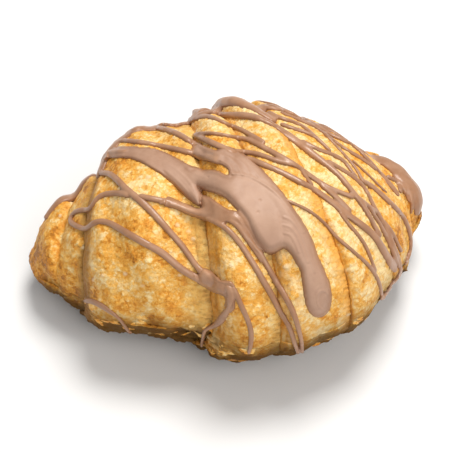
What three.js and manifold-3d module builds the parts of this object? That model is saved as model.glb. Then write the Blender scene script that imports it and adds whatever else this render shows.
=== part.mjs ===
// Chocolate croissant: a curved pastry of seven rolled turns that rests on its flat base, with
// milk chocolate drizzled across it and one thick pour that runs down the front.
// Millimetres. +X runs from tip to tip, -Y is the outer side of the curve, +Z is up.

import * as THREE from 'three';
import { mergeVertices } from 'three/addons/utils/BufferGeometryUtils.js';
import Module from 'manifold-3d';

// The part's origin is under the middle of its box, at this place from the middle of its centre line.
const ORIGIN = { x: 2, y: -1.9 };

// ---------------------------------------------------------------- the rolled dough

// The centre line lies in plan as two arcs that meet at the middle, bent towards +Y.
const BEND_LEFT = 0.0064;
const BEND_RIGHT = 0.0062;

// Where each turn starts, as a length along the centre line: at the front, over the crest, down
// the back and underneath.
const EDGES = [
  { front: -75, crest: -75, back: -75, under: -75 },
  { front: -48.5, crest: -49.5, back: -50.5, under: -58 },
  { front: -12, crest: -11, back: -10.5, under: -18.5 },
  { front: 4.8, crest: 4, back: 3.2, under: 3 },
  { front: 24, crest: 20.5, back: 19, under: 24 },
  { front: 40.5, crest: 41, back: 42, under: 42 },
  { front: 54, crest: 55.5, back: 58.5, under: 57 },
  { front: 77.5, crest: 77.5, back: 77.5, under: 77.5 },
];

// Each turn from left to right, with its sizes at its left edge, its middle and its right edge:
// half its width, its height, how far its centre sits back, and how far its underside is lifted.
const TURNS = [
  { half: [0, 19.5, 26], tall: [0, 29, 38], back: [6, 5, 4.2], lift: [9, 6, 1] },
  { half: [33.5, 42.5, 42.5], tall: [49, 62.5, 60.5], back: [5, 4.4, 3.2], lift: [2, 0, 0] },
  { half: [46.5, 50.5, 48], tall: [65, 70, 67], back: [1, -2.4, -2], lift: [0, 0, 0] },
  { half: [51.5, 52.5, 48.5], tall: [70, 72, 68], back: [-1.8, -1.6, -1.2], lift: [0, 0, 0] },
  { half: [50, 46.5, 41.5], tall: [68.5, 64.5, 57.5], back: [-1, -0.4, 0.2], lift: [0, 0, 0] },
  { half: [42.5, 38.5, 31.5], tall: [58, 53, 43], back: [0.2, 0.6, 1.2], lift: [0, 0, 2] },
  { half: [29.5, 20.5, 0], tall: [39, 29, 0], back: [1, 2, 4], lift: [3, 8, 12] },
];
const FIRST_TURN = 0;
const LAST_TURN = TURNS.length - 1;

const WAIST = 0.42;         // height of the widest line, as a share of a turn's height
const UNDER_FULLNESS = 1.08; // depth of the underside curve, before the base cuts it flat
const TIP_ROUND = 0.62;     // share of a tip's length over which it closes
const TIP_BLUNT = 0.3;      // height left at the very end of a tip, as a share
const EDGE_ROLL = 1.1;      // how far a turn's edge is rolled in
const EDGE_ROLL_LENGTH = 3;
const LUMP = 0.55;          // unevenness of the risen dough, fading where the tips close
const LUMP_FULL_FROM = 12;
const RISE_UPWARDS = 1.3;   // the dough rises more in height than in half its width
const RING_SPACING = 4.6;
const RING_CROWDING = 0.6;  // how much closer together the rings are at a turn's edges
const POINTS_AROUND = 36;

// ---------------------------------------------------------------- the drizzle

// The sight line along which the drizzle's points are laid on the dough. A point is a place in a
// picture 453 wide, seen from above the front, and the third number is the strand's width there.
const SIGHT = { azimuth: -12, elevation: 47, distance: 417, target: [0, 10, 25],
  pixelsPerMillimetre: 2.71, middle: [224.2, 219.9] };

const STRANDS = {
  pour: { thick: 2.2, seen: [[212, 170, 7], [228, 180, 12], [244, 196, 16], [257, 215, 18],
    [267, 235, 15], [272, 248, 8]] },
  pour_finger: { thick: 2.6, seen: [[240, 160, 8], [260, 182, 13], [281, 212, 13], [297, 238, 10],
    [309, 264, 9.5], [317, 288, 9.5], [320, 307, 8]] },
  pour_arm: { thick: 1.9, seen: [[182, 164, 4], [200, 178, 5.5], [222, 186, 8]] },
  left_band: { thick: 1.9, over: [[-46, 116], [-41, 111]], seen: [[141, 152, 5], [162, 161, 5.5],
    [180, 175, 5.5], [192, 189, 4], [199, 201, 2]] },
  left_high_band: { thick: 1.7, over: [[-41, 124], [-34, 119]], seen: [[149, 143, 3],
    [172, 149, 3.2], [194, 153, 3.5], [214, 160, 4.5], [232, 166, 5]] },
  left_crest: { thick: 2, over: [[-38, 150], [-33, 136], [-26, 129]], seen: [[170, 129, 3.6],
    [182, 136, 3], [197, 149, 3], [212, 159, 3]] },
  tip_band: { thick: 1.7, over: [[-50, 120], [-55, 117], [-61, 120], [-66, 128]], width: 3.4 },
  collar: { thick: 1.6, over: [[-46, 140], [-47, 122], [-45, 108]], seen: [[113, 177, 3],
    [123, 186, 3], [145, 200, 2.8], [155, 212, 2.8], [168, 225, 2.8], [182, 242, 2.8],
    [194, 263, 2.8], [207, 279, 2.8]] },
  tip_loop: { thick: 1.7, seen: [[128, 191, 3], [114, 191, 2.8], [101, 195, 2.8], [94, 206, 2.8],
    [77, 209, 2.6], [69, 217, 3.4], [75, 226, 3], [88, 227, 2.8], [101, 220, 3], [114, 224, 3],
    [134, 237, 3.2], [158, 251, 3.2], [175, 265, 3.1], [190, 272, 3], [208, 282, 3.2]] },
  low_hook: { thick: 1.7, seen: [[200, 278, 3], [229, 286, 3], [230, 306, 2.8], [221, 319, 2.8],
    [207, 327, 3]] },
  cross: { thick: 1.7, seen: [[130, 193, 3], [148, 200, 3], [177, 206, 3.2], [200, 213, 4.5],
    [223, 214, 5], [238, 216, 4], [247, 224, 3], [254, 239, 3], [263, 252, 3], [270, 267, 2.8],
    [278, 280, 2.8], [286, 295, 2.8], [293, 309, 2.7], [297, 323, 2.6], [300, 337, 2.6],
    [301, 350, 2.2]] },
  cross_low: { thick: 1.7, seen: [[214, 217, 3], [226, 225, 3], [233, 232, 2.8], [245, 248, 2.8],
    [256, 264, 2.8], [265, 280, 2.8], [273, 294, 2.8], [279, 308, 2.8], [286, 319, 2.7],
    [292, 331, 2.6], [297, 350, 2.2]] },
  drip: { thick: 1.5, seen: [[228, 288, 2.6], [237, 300, 2.5], [244, 314, 2.4], [250, 327, 2.4],
    [252, 341, 2.4]] },
  centre_thin: { thick: 1.6, seen: [[196, 135, 2.8], [206, 133, 2.6], [216, 133, 2.5],
    [230, 136, 2.5], [244, 137, 2.5], [258, 141, 3], [275, 151, 2.6], [289, 160, 2.6],
    [304, 171, 2.6], [316, 181, 2.6], [327, 189, 2.6], [341, 195, 2.6], [357, 197, 2.4]] },
  centre_fold: { thick: 1.7, over: [[-8, 122]], seen: [[209, 139, 3.4], [222, 147, 4.4],
    [238, 155, 5.5], [250, 166, 7]] },
  centre_low: { thick: 1.5, seen: [[238, 151, 3], [256, 153, 2.6], [269, 157, 2.4],
    [286, 163, 2.4]] },
  right_long: { thick: 1.6, seen: [[246, 157, 3], [263, 163, 2.6], [280, 171, 2.6],
    [295, 177, 2.6], [309, 184, 2.6], [321, 192, 2.6], [333, 202, 2.5], [343, 211, 2.5],
    [357, 221, 2.5], [371, 231, 2.5], [379, 243, 2.5], [384, 254, 2.5], [391, 265, 2.4]] },
  crest_band: { thick: 2, over: [[-10, 150], [-8, 134]], seen: [[206, 114, 5], [215, 118, 4.5],
    [225, 122, 4], [238, 126, 3.6], [254, 133, 3.4], [265, 143, 3]] },
  crest_cap: { thick: 2, over: [[4, 150], [6, 136], [10, 124], [16, 118], [24, 114]], width: 7 },
  crest_long: { thick: 2, over: [[0, 122]], seen: [[235, 113, 5.5], [249, 116, 5.5],
    [265, 122, 4.5], [285, 134, 4], [299, 141, 3.8], [314, 152, 3.6], [328, 162, 3.8],
    [338, 173, 2.8], [347, 184, 2.7], [356, 196, 2.7], [366, 212, 2.7], [374, 228, 2.7],
    [384, 244, 2.7], [391, 257, 2.5], [396, 267, 2.5]] },
  crest_long_branch: { thick: 1.7, seen: [[327, 161, 2.6], [347, 171, 2.6], [359, 180, 2.6],
    [367, 192, 2.6], [374, 207, 2.8], [382, 221, 2.8], [390, 237, 2.8], [396, 254, 2.8],
    [399, 268, 2.6]] },
  right_outer: { thick: 1.6, seen: [[362, 180, 2.4], [374, 188, 2.5], [383, 197, 2.6],
    [393, 206, 2.6], [401, 216, 2.8], [406, 232, 2.8], [408, 248, 2.8]] },
  ridge_a: { thick: 1.7, over: [[18, 150], [20, 132], [26, 121], [35, 117], [45, 113], [53, 106],
    [58, 96]], width: 3.2 },
  ridge_b: { thick: 1.6, over: [[16, 113], [24, 107], [33, 104], [41, 101], [48, 95], [52, 84],
    [53, 72]], width: 2.8 },
  ridge_c: { thick: 1.6, over: [[18, 106], [26, 99], [34, 96]], seen: [[326, 140, 2.6],
    [341, 150, 2.6], [357, 158, 2.6], [372, 166, 2.6], [381, 178, 2.5], [389, 189, 2.5],
    [396, 200, 2.4]] },
  right_tip_band: { thick: 1.8, over: [[59, 152], [59, 130], [60, 108], [63, 92]], seen: [
    [399, 170, 4.4], [410, 183, 4], [416, 196, 3.4]] },
  right_tip_loop: { thick: 1.6, seen: [[376, 163, 2.8], [391, 171, 2.8], [398, 180, 2.8],
    [406, 187, 2.6], [411, 196, 2.2]] },
  back_left: { thick: 1.8, over: [[-36, 112], [-34, 124], [-30, 140], [-27, 156], [-29, 170]],
    width: 3.2 },
  back_middle: { thick: 1.9, over: [[-8, 112], [-2, 122], [2, 138], [1, 154], [4, 168]],
    width: 3.6 },
  back_wave: { thick: 1.7, over: [[-26, 112], [-16, 130], [-2, 138], [14, 134], [28, 140],
    [40, 148]], width: 3 },
  back_right: { thick: 1.7, over: [[31, 108], [34, 122], [33, 138], [37, 154]], width: 3 },
};

const STRAND_STEP = 5;      // spacing of a strand's sections
const NARROW_STRAND = 3.3;  // up to this width a strand's top is a single ridge
const STRAND_SINK = 1.1;    // how deep a strand reaches into the dough, so that they fuse
const STRAND_END = 0.45;    // width of a strand's end, as a share of its width
const STRAND_BEDDING = 0.15; // how far a strand settles into the crust
const AXIS_HEIGHT = 26;     // height of the line that the strands are measured out from
const FAR_OUTSIDE = 100;
const SLIVER = 0.05;        // edges shorter than this are closed up once all is fused
const TOUCHING = 0.004;     // corners nearer than this count as touching
const DRAW_IN = 0.03;

// ---------------------------------------------------------------- the surface of the dough

function centreLine(along) {
  const bend = along < 0 ? BEND_LEFT : BEND_RIGHT;
  const turn = bend * along;
  return { x: Math.sin(turn) / bend, y: (1 - Math.cos(turn)) / bend, turn };
}

// The place reached from the centre line by going back towards +Y and up.
function fromCentreLine(along, back, up) {
  const { x, y, turn } = centreLine(along);
  return new THREE.Vector3(x - back * Math.sin(turn), y + back * Math.cos(turn), up);
}

// The reverse of fromCentreLine.
function toCentreLine(point) {
  const bend = point.x < 0 ? BEND_LEFT : BEND_RIGHT;
  const inward = 1 / bend - point.y;
  return { along: Math.atan2(point.x, inward) / bend,
    back: 1 / bend - Math.hypot(point.x, inward), up: point.z };
}

// A smooth run through a size given at the start, the middle and the end.
function through([start, middle, end], t) {
  return start * (1 - t) * (1 - 2 * t) + 4 * middle * t * (1 - t) + end * t * (2 * t - 1);
}

// A tip's half width or height: it closes in a round end and then grows to its inner edge.
function tipSize([outer, middle, inner], inwards, blunt) {
  if (inwards >= TIP_ROUND) {
    return THREE.MathUtils.mapLinear(inwards, TIP_ROUND, 1, middle, inner);
  }
  const closing = Math.sqrt(Math.max(0, 1 - (1 - inwards / TIP_ROUND) ** 2));
  return outer + (middle - outer) * (blunt + (1 - blunt) * closing);
}

// Soft lumps that keep the turns from being perfectly round.
function lump(along, round, turn) {
  return LUMP * (Math.sin(along * 0.31 + round * 2.3 + turn * 1.7)
    + Math.sin(along * 0.17 - round * 3.1 + turn * 2.9)
    + 0.6 * Math.sin(along * 0.53 + round * 5.2 + turn));
}

// The point of a turn at t, 0 at its left edge and 1 at its right edge, and at an angle round
// it, 0 at the front, a quarter turn at the crest and a half turn at the back.
function turnPoint(index, t, round) {
  const turn = TURNS[index];
  const cos = Math.cos(round);
  const sin = Math.sin(round);
  const side = cos > 0 ? 'front' : 'back';
  const middle = sin > 0 ? 'crest' : 'under';
  const sweep = sin > 0 ? cos * cos : cos ** 4;
  const place = (edge) => edge[middle] + (edge[side] - edge[middle]) * sweep;
  const left = place(EDGES[index]);
  const right = place(EDGES[index + 1]);
  const along = left + (right - left) * t;

  let half = through(turn.half, t);
  let tall = through(turn.tall, t);
  if (index === FIRST_TURN) {
    half = tipSize(turn.half, t, 0);
    tall = tipSize(turn.tall, t, TIP_BLUNT);
  }
  if (index === LAST_TURN) {
    half = tipSize([...turn.half].reverse(), 1 - t, 0);
    tall = tipSize([...turn.tall].reverse(), 1 - t, TIP_BLUNT);
  }

  const length = right - left;
  const toLeft = index === FIRST_TURN ? EDGE_ROLL_LENGTH : t * length;
  const toRight = index === LAST_TURN ? EDGE_ROLL_LENGTH : (1 - t) * length;
  const near = Math.min(toLeft, toRight, EDGE_ROLL_LENGTH) / EDGE_ROLL_LENGTH;
  const closed = Math.min(1, half / LUMP_FULL_FROM);
  const grow = (lump(along, round, index) * near - EDGE_ROLL * (1 - near) ** 2) * closed;
  half += grow;
  tall += grow * RISE_UPWARDS;

  const waist = WAIST * tall;
  const up = sin > 0 ? waist + (tall - waist) * sin : waist + waist * UNDER_FULLNESS * sin;
  const lifted = Math.max(0, up + through(turn.lift, t));
  return fromCentreLine(along, through(turn.back, t) - half * cos, lifted);
}

// A closed skin over a row of rings of points, with its two ends closed by fans.
function skin(rings) {
  const around = rings[0].length;
  const positions = [];
  const indices = [];
  for (const ring of rings) {
    for (const point of ring) {
      positions.push(point.x, point.y, point.z);
    }
  }
  for (let r = 0; r < rings.length - 1; r += 1) {
    for (let p = 0; p < around; p += 1) {
      const next = (p + 1) % around;
      const a = r * around + p;
      const b = r * around + next;
      const c = a + around;
      const d = b + around;
      indices.push(a, c, b, b, c, d);
    }
  }
  for (const [start, flip] of [[0, false], [(rings.length - 1) * around, true]]) {
    const centre = positions.length / 3;
    const middle = new THREE.Vector3();
    rings[start / around].forEach((point) => middle.addScaledVector(point, 1 / around));
    positions.push(middle.x, middle.y, middle.z);
    for (let p = 0; p < around; p += 1) {
      const a = start + p;
      const b = start + ((p + 1) % around);
      indices.push(centre, flip ? b : a, flip ? a : b);
    }
  }
  const geometry = new THREE.BufferGeometry();
  geometry.setAttribute('position', new THREE.Float32BufferAttribute(positions, 3));
  geometry.setIndex(indices);
  return geometry;
}

function doughGeometry() {
  const rings = [];
  for (let index = 0; index < TURNS.length; index += 1) {
    const length = EDGES[index + 1].crest - EDGES[index].crest;
    const steps = 1 + Math.round(length / RING_SPACING);
    for (let step = 0; step <= steps; step += 1) {
      const even = step / steps;
      const crowded = (1 - Math.cos(even * Math.PI)) / 2;
      const t = THREE.MathUtils.lerp(even, crowded, RING_CROWDING);
      const closedLeft = index === FIRST_TURN && step === 0;
      const closedRight = index === LAST_TURN && step === steps;
      if (closedLeft || closedRight) continue;
      const ring = [];
      for (let p = 0; p < POINTS_AROUND; p += 1) {
        ring.push(turnPoint(index, t, (p / POINTS_AROUND) * 2 * Math.PI));
      }
      rings.push(ring);
    }
  }
  return skin(rings);
}

// ---------------------------------------------------------------- laying the drizzle

const doughShape = doughGeometry();
doughShape.computeVertexNormals();
const dough = new THREE.Mesh(doughShape, new THREE.MeshBasicMaterial({ side: THREE.DoubleSide }));
dough.updateMatrixWorld();
const ray = new THREE.Raycaster();

// The point of the dough that a place in the picture shows.
function seenPoint(across, down) {
  const azimuth = THREE.MathUtils.degToRad(SIGHT.azimuth);
  const elevation = THREE.MathUtils.degToRad(SIGHT.elevation);
  const away = new THREE.Vector3(Math.sin(azimuth) * Math.cos(elevation),
    -Math.cos(azimuth) * Math.cos(elevation), Math.sin(elevation));
  const right = new THREE.Vector3(Math.cos(azimuth), Math.sin(azimuth), 0);
  const above = away.clone().cross(right);
  const eye = new THREE.Vector3(...SIGHT.target).addScaledVector(away, SIGHT.distance);
  const sight = away.clone().multiplyScalar(-SIGHT.distance)
    .addScaledVector(right, (across - SIGHT.middle[0]) / SIGHT.pixelsPerMillimetre)
    .addScaledVector(above, (SIGHT.middle[1] - down) / SIGHT.pixelsPerMillimetre);
  ray.set(eye, sight.normalize());
  const hit = ray.intersectObject(dough)[0];
  return hit ? hit.point : null;
}

// A length along the centre line and an angle about the axis that the strands are measured from.
function toAxis(point) {
  const { along, back, up } = toCentreLine(point);
  return { along, angle: Math.atan2(up - AXIS_HEIGHT, -back) };
}

// How far the dough's surface is from that axis, in that direction.
function reach(along, angle) {
  const origin = fromCentreLine(along, 0, AXIS_HEIGHT);
  ray.set(origin, atAxis(along, angle, FAR_OUTSIDE).sub(origin).normalize());
  const hits = ray.intersectObject(dough);
  return hits.length ? hits[0].distance : null;
}

function atAxis(along, angle, distance) {
  return fromCentreLine(along, -distance * Math.cos(angle),
    AXIS_HEIGHT + distance * Math.sin(angle));
}

// The middle line of a strand: the unseen part over the back first, then what the picture shows.
function strandPoints({ over = [], seen = [], width }) {
  const points = [];
  for (const [along, degrees] of over) {
    const angle = THREE.MathUtils.degToRad(degrees);
    const distance = reach(along, angle);
    points.push({ at: atAxis(along, angle, distance), width: width ?? seen[0][2] });
  }
  for (const [across, down, wide] of seen) {
    const at = seenPoint(across, down);
    if (at) points.push({ at, width: wide });
  }
  return points;
}

// A strand's section: two feet, one or two shoulders, and a root inside the dough. Each point has
// its place to the side, as a share of half the width, and its height, as a share of the thickness.
const NARROW_SECTION = [[-1, 0], [0, 1], [1, 0], [0, null]];
const WIDE_SECTION = [[-1, 0], [-0.55, 0.9], [0.55, 0.9], [1, 0], [0, null]];

function strandGeometry(strand) {
  const points = strandPoints(strand);
  const widest = Math.max(...points.map((point) => point.width));
  const section = widest > NARROW_STRAND ? WIDE_SECTION : NARROW_SECTION;
  const curve = new THREE.CatmullRomCurve3(points.map((point) => point.at), false, 'centripetal');
  const steps = Math.max(2, Math.round(curve.getLength() / STRAND_STEP));
  const centres = [];
  for (let step = 0; step <= steps; step += 1) {
    const t = step / steps;
    const at = curve.getPoint(t);
    const between = t * (points.length - 1);
    const first = Math.min(points.length - 2, Math.floor(between));
    const wide = THREE.MathUtils.lerp(points[first].width, points[first + 1].width,
      between - first);
    const { along, angle } = toAxis(at);
    centres.push({ along, angle, wide, distance: reach(along, angle) });
  }
  // where the dough steps down, the chocolate bridges the corner
  const smooth = centres.map(({ distance }, i) => {
    const before = centres[Math.max(0, i - 1)].distance;
    const after = centres[Math.min(centres.length - 1, i + 1)].distance;
    return (before + 2 * distance + after) / 4;
  });

  const rings = centres.map(({ along, angle, wide, distance }, i) => {
    const bridge = Math.max(0, smooth[i] - distance);
    const middle = atAxis(along, angle, distance);
    const outward = middle.clone().sub(fromCentreLine(along, 0, AXIS_HEIGHT)).normalize();
    const sideways = outward.clone().cross(curve.getTangent(i / steps)).normalize();
    const isEnd = i === 0 || i === steps;
    const half = (wide / 2) * (isEnd ? STRAND_END : 1);
    const thick = strand.thick * (isEnd ? STRAND_END : 1);
    return section.map(([side, height]) => {
      const beside = middle.clone().addScaledVector(sideways, side * half);
      const foot = toAxis(beside);
      const under = reach(foot.along, foot.angle) ?? distance;
      const level = Math.min(Math.max(under, distance - half), distance + half);
      const rise = height === null ? -STRAND_SINK : height * thick + bridge - STRAND_BEDDING;
      return atAxis(foot.along, foot.angle, level + rise);
    });
  });
  return skin(rings);
}

// ---------------------------------------------------------------- fusing it into one solid

const library = await Module();
library.setup();

function toSolid(geometry) {
  const bare = geometry.clone();
  bare.deleteAttribute('normal');
  const merged = mergeVertices(bare, 1e-4);
  return new library.Manifold(new library.Mesh({
    numProp: 3,
    vertProperties: new Float32Array(merged.attributes.position.array),
    triVerts: new Uint32Array(merged.index.array),
  }));
}

let pastry = toSolid(doughShape);
for (const strand of Object.values(STRANDS)) {
  pastry = pastry.add(toSolid(strandGeometry(strand)));
}

// Slivers where surfaces cross are closed up, sealed hollows between crossing strands are filled,
// and the pastry stays one body.
const bodies = pastry.simplify(SLIVER).decompose().sort((a, b) => b.volume() - a.volume());

// Where two folds of chocolate only just touch, each is drawn in a little, so that they stay apart.
function partTouching(geometry) {
  geometry.computeVertexNormals();
  const places = geometry.attributes.position;
  const normals = geometry.attributes.normal;
  const groups = new Map();
  for (let v = 0; v < places.count; v += 1) {
    const cell = [places.getX(v), places.getY(v), places.getZ(v)]
      .map((value) => Math.round(value / TOUCHING)).join();
    groups.set(cell, [...(groups.get(cell) ?? []), v]);
  }
  for (const group of groups.values()) {
    if (group.length === 1) continue;
    for (const v of group) {
      places.setXYZ(v, places.getX(v) - DRAW_IN * normals.getX(v),
        places.getY(v) - DRAW_IN * normals.getY(v), places.getZ(v) - DRAW_IN * normals.getZ(v));
    }
  }
}

function toGeometry(solid) {
  const { numProp, vertProperties, triVerts } = solid.getMesh();
  const geometry = new THREE.BufferGeometry();
  geometry.setAttribute('position', new THREE.BufferAttribute(vertProperties, numProp));
  geometry.setIndex(new THREE.BufferAttribute(triVerts, 1));
  partTouching(geometry);
  return geometry;
}

const crust = new THREE.MeshStandardMaterial({ color: 0xdcab64, roughness: 0.5, metalness: 0 });
const croissant = new THREE.Mesh(toGeometry(bodies[0]), crust);
croissant.name = 'croissant';
croissant.position.set(-ORIGIN.x, -ORIGIN.y, 0);

const chocolateCroissant = new THREE.Group();
chocolateCroissant.add(croissant);

export default chocolateCroissant;
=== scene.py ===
"""A chocolate croissant: a rolled, curved pastry with milk chocolate drizzled and poured over it."""

import math
import random

import bpy
import numpy as np
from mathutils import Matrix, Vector, noise
from mathutils.bvhtree import BVHTree


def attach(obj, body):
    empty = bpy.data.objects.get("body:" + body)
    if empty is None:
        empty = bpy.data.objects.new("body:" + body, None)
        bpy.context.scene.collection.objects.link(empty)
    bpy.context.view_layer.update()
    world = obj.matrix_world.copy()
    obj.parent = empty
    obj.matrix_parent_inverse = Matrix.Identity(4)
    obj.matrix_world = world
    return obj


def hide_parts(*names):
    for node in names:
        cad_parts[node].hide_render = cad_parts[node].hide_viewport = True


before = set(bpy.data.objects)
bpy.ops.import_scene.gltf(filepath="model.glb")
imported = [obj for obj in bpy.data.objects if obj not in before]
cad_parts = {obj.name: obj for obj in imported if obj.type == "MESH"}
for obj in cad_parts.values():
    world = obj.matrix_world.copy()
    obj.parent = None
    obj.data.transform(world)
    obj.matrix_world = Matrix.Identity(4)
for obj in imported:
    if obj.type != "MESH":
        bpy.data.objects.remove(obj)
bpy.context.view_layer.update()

# ------------------------------------------------------------------ camera
# The view is the photo's: from above the front, a little to the left. The same line of sight later
# lays the chocolate on the dough. Lengths are in millimetres from the middle of the croissant's
# centre line, and in_part turns them into metres in the part's own frame.

MM = 0.001
ORIGIN_X, ORIGIN_Y = 2.0, -1.9
SIGHT_AZIMUTH = math.radians(-12)
SIGHT_ELEVATION = math.radians(47)
SIGHT_DISTANCE = 417.0
SIGHT_TARGET = np.array((0.0, 10.0, 25.0))
PIXELS_PER_MM = 2.71
PHOTO_SIZE = 453
TARGET_SEEN = (224.2, 219.9)
SENSOR_WIDTH = 36.0
FAR_CLIP = 10.0                          # in metres

sight_away = np.array((math.sin(SIGHT_AZIMUTH) * math.cos(SIGHT_ELEVATION),
                       -math.cos(SIGHT_AZIMUTH) * math.cos(SIGHT_ELEVATION),
                       math.sin(SIGHT_ELEVATION)))
sight_right = np.array((math.cos(SIGHT_AZIMUTH), math.sin(SIGHT_AZIMUTH), 0.0))
sight_up = np.cross(sight_away, sight_right)
sight_eye = SIGHT_TARGET + sight_away * SIGHT_DISTANCE


def in_part(points):
    """Places in the part's own frame, in metres."""
    return (np.asarray(points) - (ORIGIN_X, ORIGIN_Y, 0.0)) * MM


camera_data = bpy.data.cameras.new("camera")
camera = bpy.data.objects.new("camera", camera_data)
bpy.context.scene.collection.objects.link(camera)
camera.location = in_part(sight_eye)
camera.rotation_mode = "QUATERNION"
camera.rotation_quaternion = Vector(-sight_away).to_track_quat("-Z", "Y")
camera_data.sensor_width = SENSOR_WIDTH
camera_data.lens = PIXELS_PER_MM * SIGHT_DISTANCE / PHOTO_SIZE * SENSOR_WIDTH
camera_data.shift_x = (PHOTO_SIZE / 2 - TARGET_SEEN[0]) / PHOTO_SIZE
camera_data.shift_y = (TARGET_SEEN[1] - PHOTO_SIZE / 2) / PHOTO_SIZE
camera_data.clip_end = FAR_CLIP
bpy.context.scene.camera = camera

# ------------------------------------------------------------------ floor and studio light
# A plain pale floor under soft light. A large lamp above and behind on the right draws the
# highlights along the chocolate, a second one fills the front, and a pale room does the rest.


def deselect_all():
    bpy.ops.object.select_all(action="DESELECT")


def new_material(name):
    """A new material, its tree of nodes and its shader."""
    material = bpy.data.materials.new(name)
    material.use_nodes = True
    return material, material.node_tree, material.node_tree.nodes["Principled BSDF"]


FLOOR_SIZE = 4.0
FLOOR_GREY, FLOOR_ROUGHNESS = 0.88, 0.8
LAMP_AIM = Vector((0, 0, 0.03))
LAMP_COLOR = (1.0, 0.98, 0.95)
LAMPS = {
    "key": {"place": (0.13, 0.17, 0.70), "size": 0.36, "power": 4.5},
    "front": {"place": (0.22, -0.58, 0.58), "size": 0.6, "power": 2.8},
}
ROOM_COLOR, ROOM_STRENGTH = (1.0, 0.99, 0.98, 1), 0.38

deselect_all()
bpy.ops.mesh.primitive_plane_add(size=FLOOR_SIZE)
floor = bpy.context.object
floor.name = "floor"
pale_floor, _, floor_shader = new_material("pale_floor")
floor_shader.inputs["Base Color"].default_value = (FLOOR_GREY, FLOOR_GREY, FLOOR_GREY, 1)
floor_shader.inputs["Roughness"].default_value = FLOOR_ROUGHNESS
floor.data.materials.append(pale_floor)

for lamp_name, lamp in LAMPS.items():
    lamp_data = bpy.data.lights.new(lamp_name, "AREA")
    lamp_data.shape = "DISK"
    lamp_data.size = lamp["size"]
    lamp_data.energy = lamp["power"]
    lamp_data.color = LAMP_COLOR
    lamp_object = bpy.data.objects.new(lamp_name, lamp_data)
    bpy.context.scene.collection.objects.link(lamp_object)
    lamp_object.location = lamp["place"]
    lamp_object.rotation_mode = "QUATERNION"
    lamp_object.rotation_quaternion = (LAMP_AIM - Vector(lamp["place"])).to_track_quat("-Z", "Y")

studio = bpy.data.worlds.new("studio")
studio.use_nodes = True
room = studio.node_tree.nodes["Background"]
room.inputs["Color"].default_value = ROOM_COLOR
room.inputs["Strength"].default_value = ROOM_STRENGTH
bpy.context.scene.world = studio
bpy.context.scene.view_settings.view_transform = "Standard"

# ------------------------------------------------------------------ turns of dough
# The pastry is one strip of laminated dough, rolled up and bent into a curve, so that its seven
# turns overlap like steps. Glazed with egg and baked, the crust has blistered, flaked and
# browned in patches. It stays pale and open where one turn tucks under the next.

BEND_LEFT, BEND_RIGHT = 0.0064, 0.0062
# where each turn starts along the centre line: at the front, the crest, the back and underneath
EDGES = np.array((
    (-75, -75, -75, -75),
    (-48.5, -49.5, -50.5, -54),
    (-12, -11, -10.5, -18.5),
    (4.8, 4, 3.2, 3),
    (24, 20.5, 19, 24),
    (40.5, 41, 42, 42),
    (53, 55, 58, 56),
    (76.5, 76.5, 76.5, 76.5)), dtype=float)
# each turn's half width, height, shift to the back and lift, at its left edge, middle and right edge
TURNS = (
    {"half": (0, 20, 26.5), "tall": (0, 30.8, 45.5), "back": (6, 5, 4.2), "lift": (9, 6, 1)},
    {"half": (33, 42.2, 42), "tall": (48, 61.8, 60), "back": (5, 4.4, 3.2), "lift": (2, 0, 0)},
    {"half": (46.5, 50.5, 48), "tall": (67, 70.5, 67), "back": (1, -2.4, -2), "lift": (0, 0, 0)},
    {"half": (51.5, 52.5, 48.5), "tall": (69, 71, 67.5), "back": (-1.8, -1.6, -1.2), "lift": (0, 0, 0)},
    {"half": (51, 47.3, 40), "tall": (68.5, 64.5, 57.5), "back": (-1, -0.4, 0.2), "lift": (0, 0, 0)},
    {"half": (40, 36.6, 30), "tall": (58, 53, 42.5), "back": (0.2, 0.6, 1.2), "lift": (0, 0, 2)},
    {"half": (29, 19.5, 0), "tall": (40, 28.5, 0), "back": (1, 1.8, 3), "lift": (3, 8, 12)},
)
LAST_TURN = len(TURNS) - 1
PROUD_AT_LEFT = (1, 2, 3, 4, 5)          # these turns overlap their left neighbour
PROUD_AT_RIGHT = (5,)
WAIST = 0.42                             # height of the widest line, as a share of the height
UNDER_FULLNESS = 1.08
TIP_ROUND, TIP_BLUNT, TIP_TAPER, TIP_FLARE = 0.62, (0.17, 0.12), (2.2, 1.0), 0.75   # of the two tips
TIP_START, TIP_ROWS, TIP_CROWDING = 0.02, 1.25, 1.7   # a tip's rows lie closer together at its end
# how far the foot of each turn's front lies further in than its round, at its left and right edge
FOOT_IN = ((0, 0), (1.0, 4.5), (1.0, 1.0), (1.0, 1.5), (1.5, 3.5), (6.0, 2.0), (-2.5, 0))
FOOT_HEIGHTS = (0.25, -0.40)             # as shares of the half height, above or below the waist
EDGE_ROLL, EDGE_ROLL_LENGTH = 1.1, 3.0
SHOULDER = (0, 2.2, 3.0, 1.4, 0.4, 0, 0)   # how much further each turn rounds off to its left edge
SHOULDER_LENGTH = 7.0
LUMP, LUMP_FULL_FROM, RISE_UPWARDS = 0.55, 12.0, 1.3
# the lumps' waves: along the centre line, round it, from turn to turn, and each one's share
LUMP_WAVES = ((0.31, 2.3, 1.7, 1.0), (0.17, -3.1, 2.9, 1.0), (0.53, 5.2, 1.0, 0.6))
SPACING = 0.40                           # of the mesh's rows and of the points in a row
FLAT_BELOW, UNDER_THINNING = -0.75, 0.35   # how much sparser the points are on the flat base
FINE_ANGLES = 4000                       # steps in which the spacing round a turn is worked out
TUCK, TUCK_NARROWER = 1.6, 0.02          # how far a turn runs on under its neighbour
NO_EDGE = 99.0
LEAST_STEP, LEAST_LENGTH = 0.3, 1e-9      # nothing is divided by less
MERGE_WITHIN = 0.000002                  # in metres
CELL_MIX, CELL_SPREAD = (12.9898, 78.233, 37.719), 43758.5453   # any large uneven numbers


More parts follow.
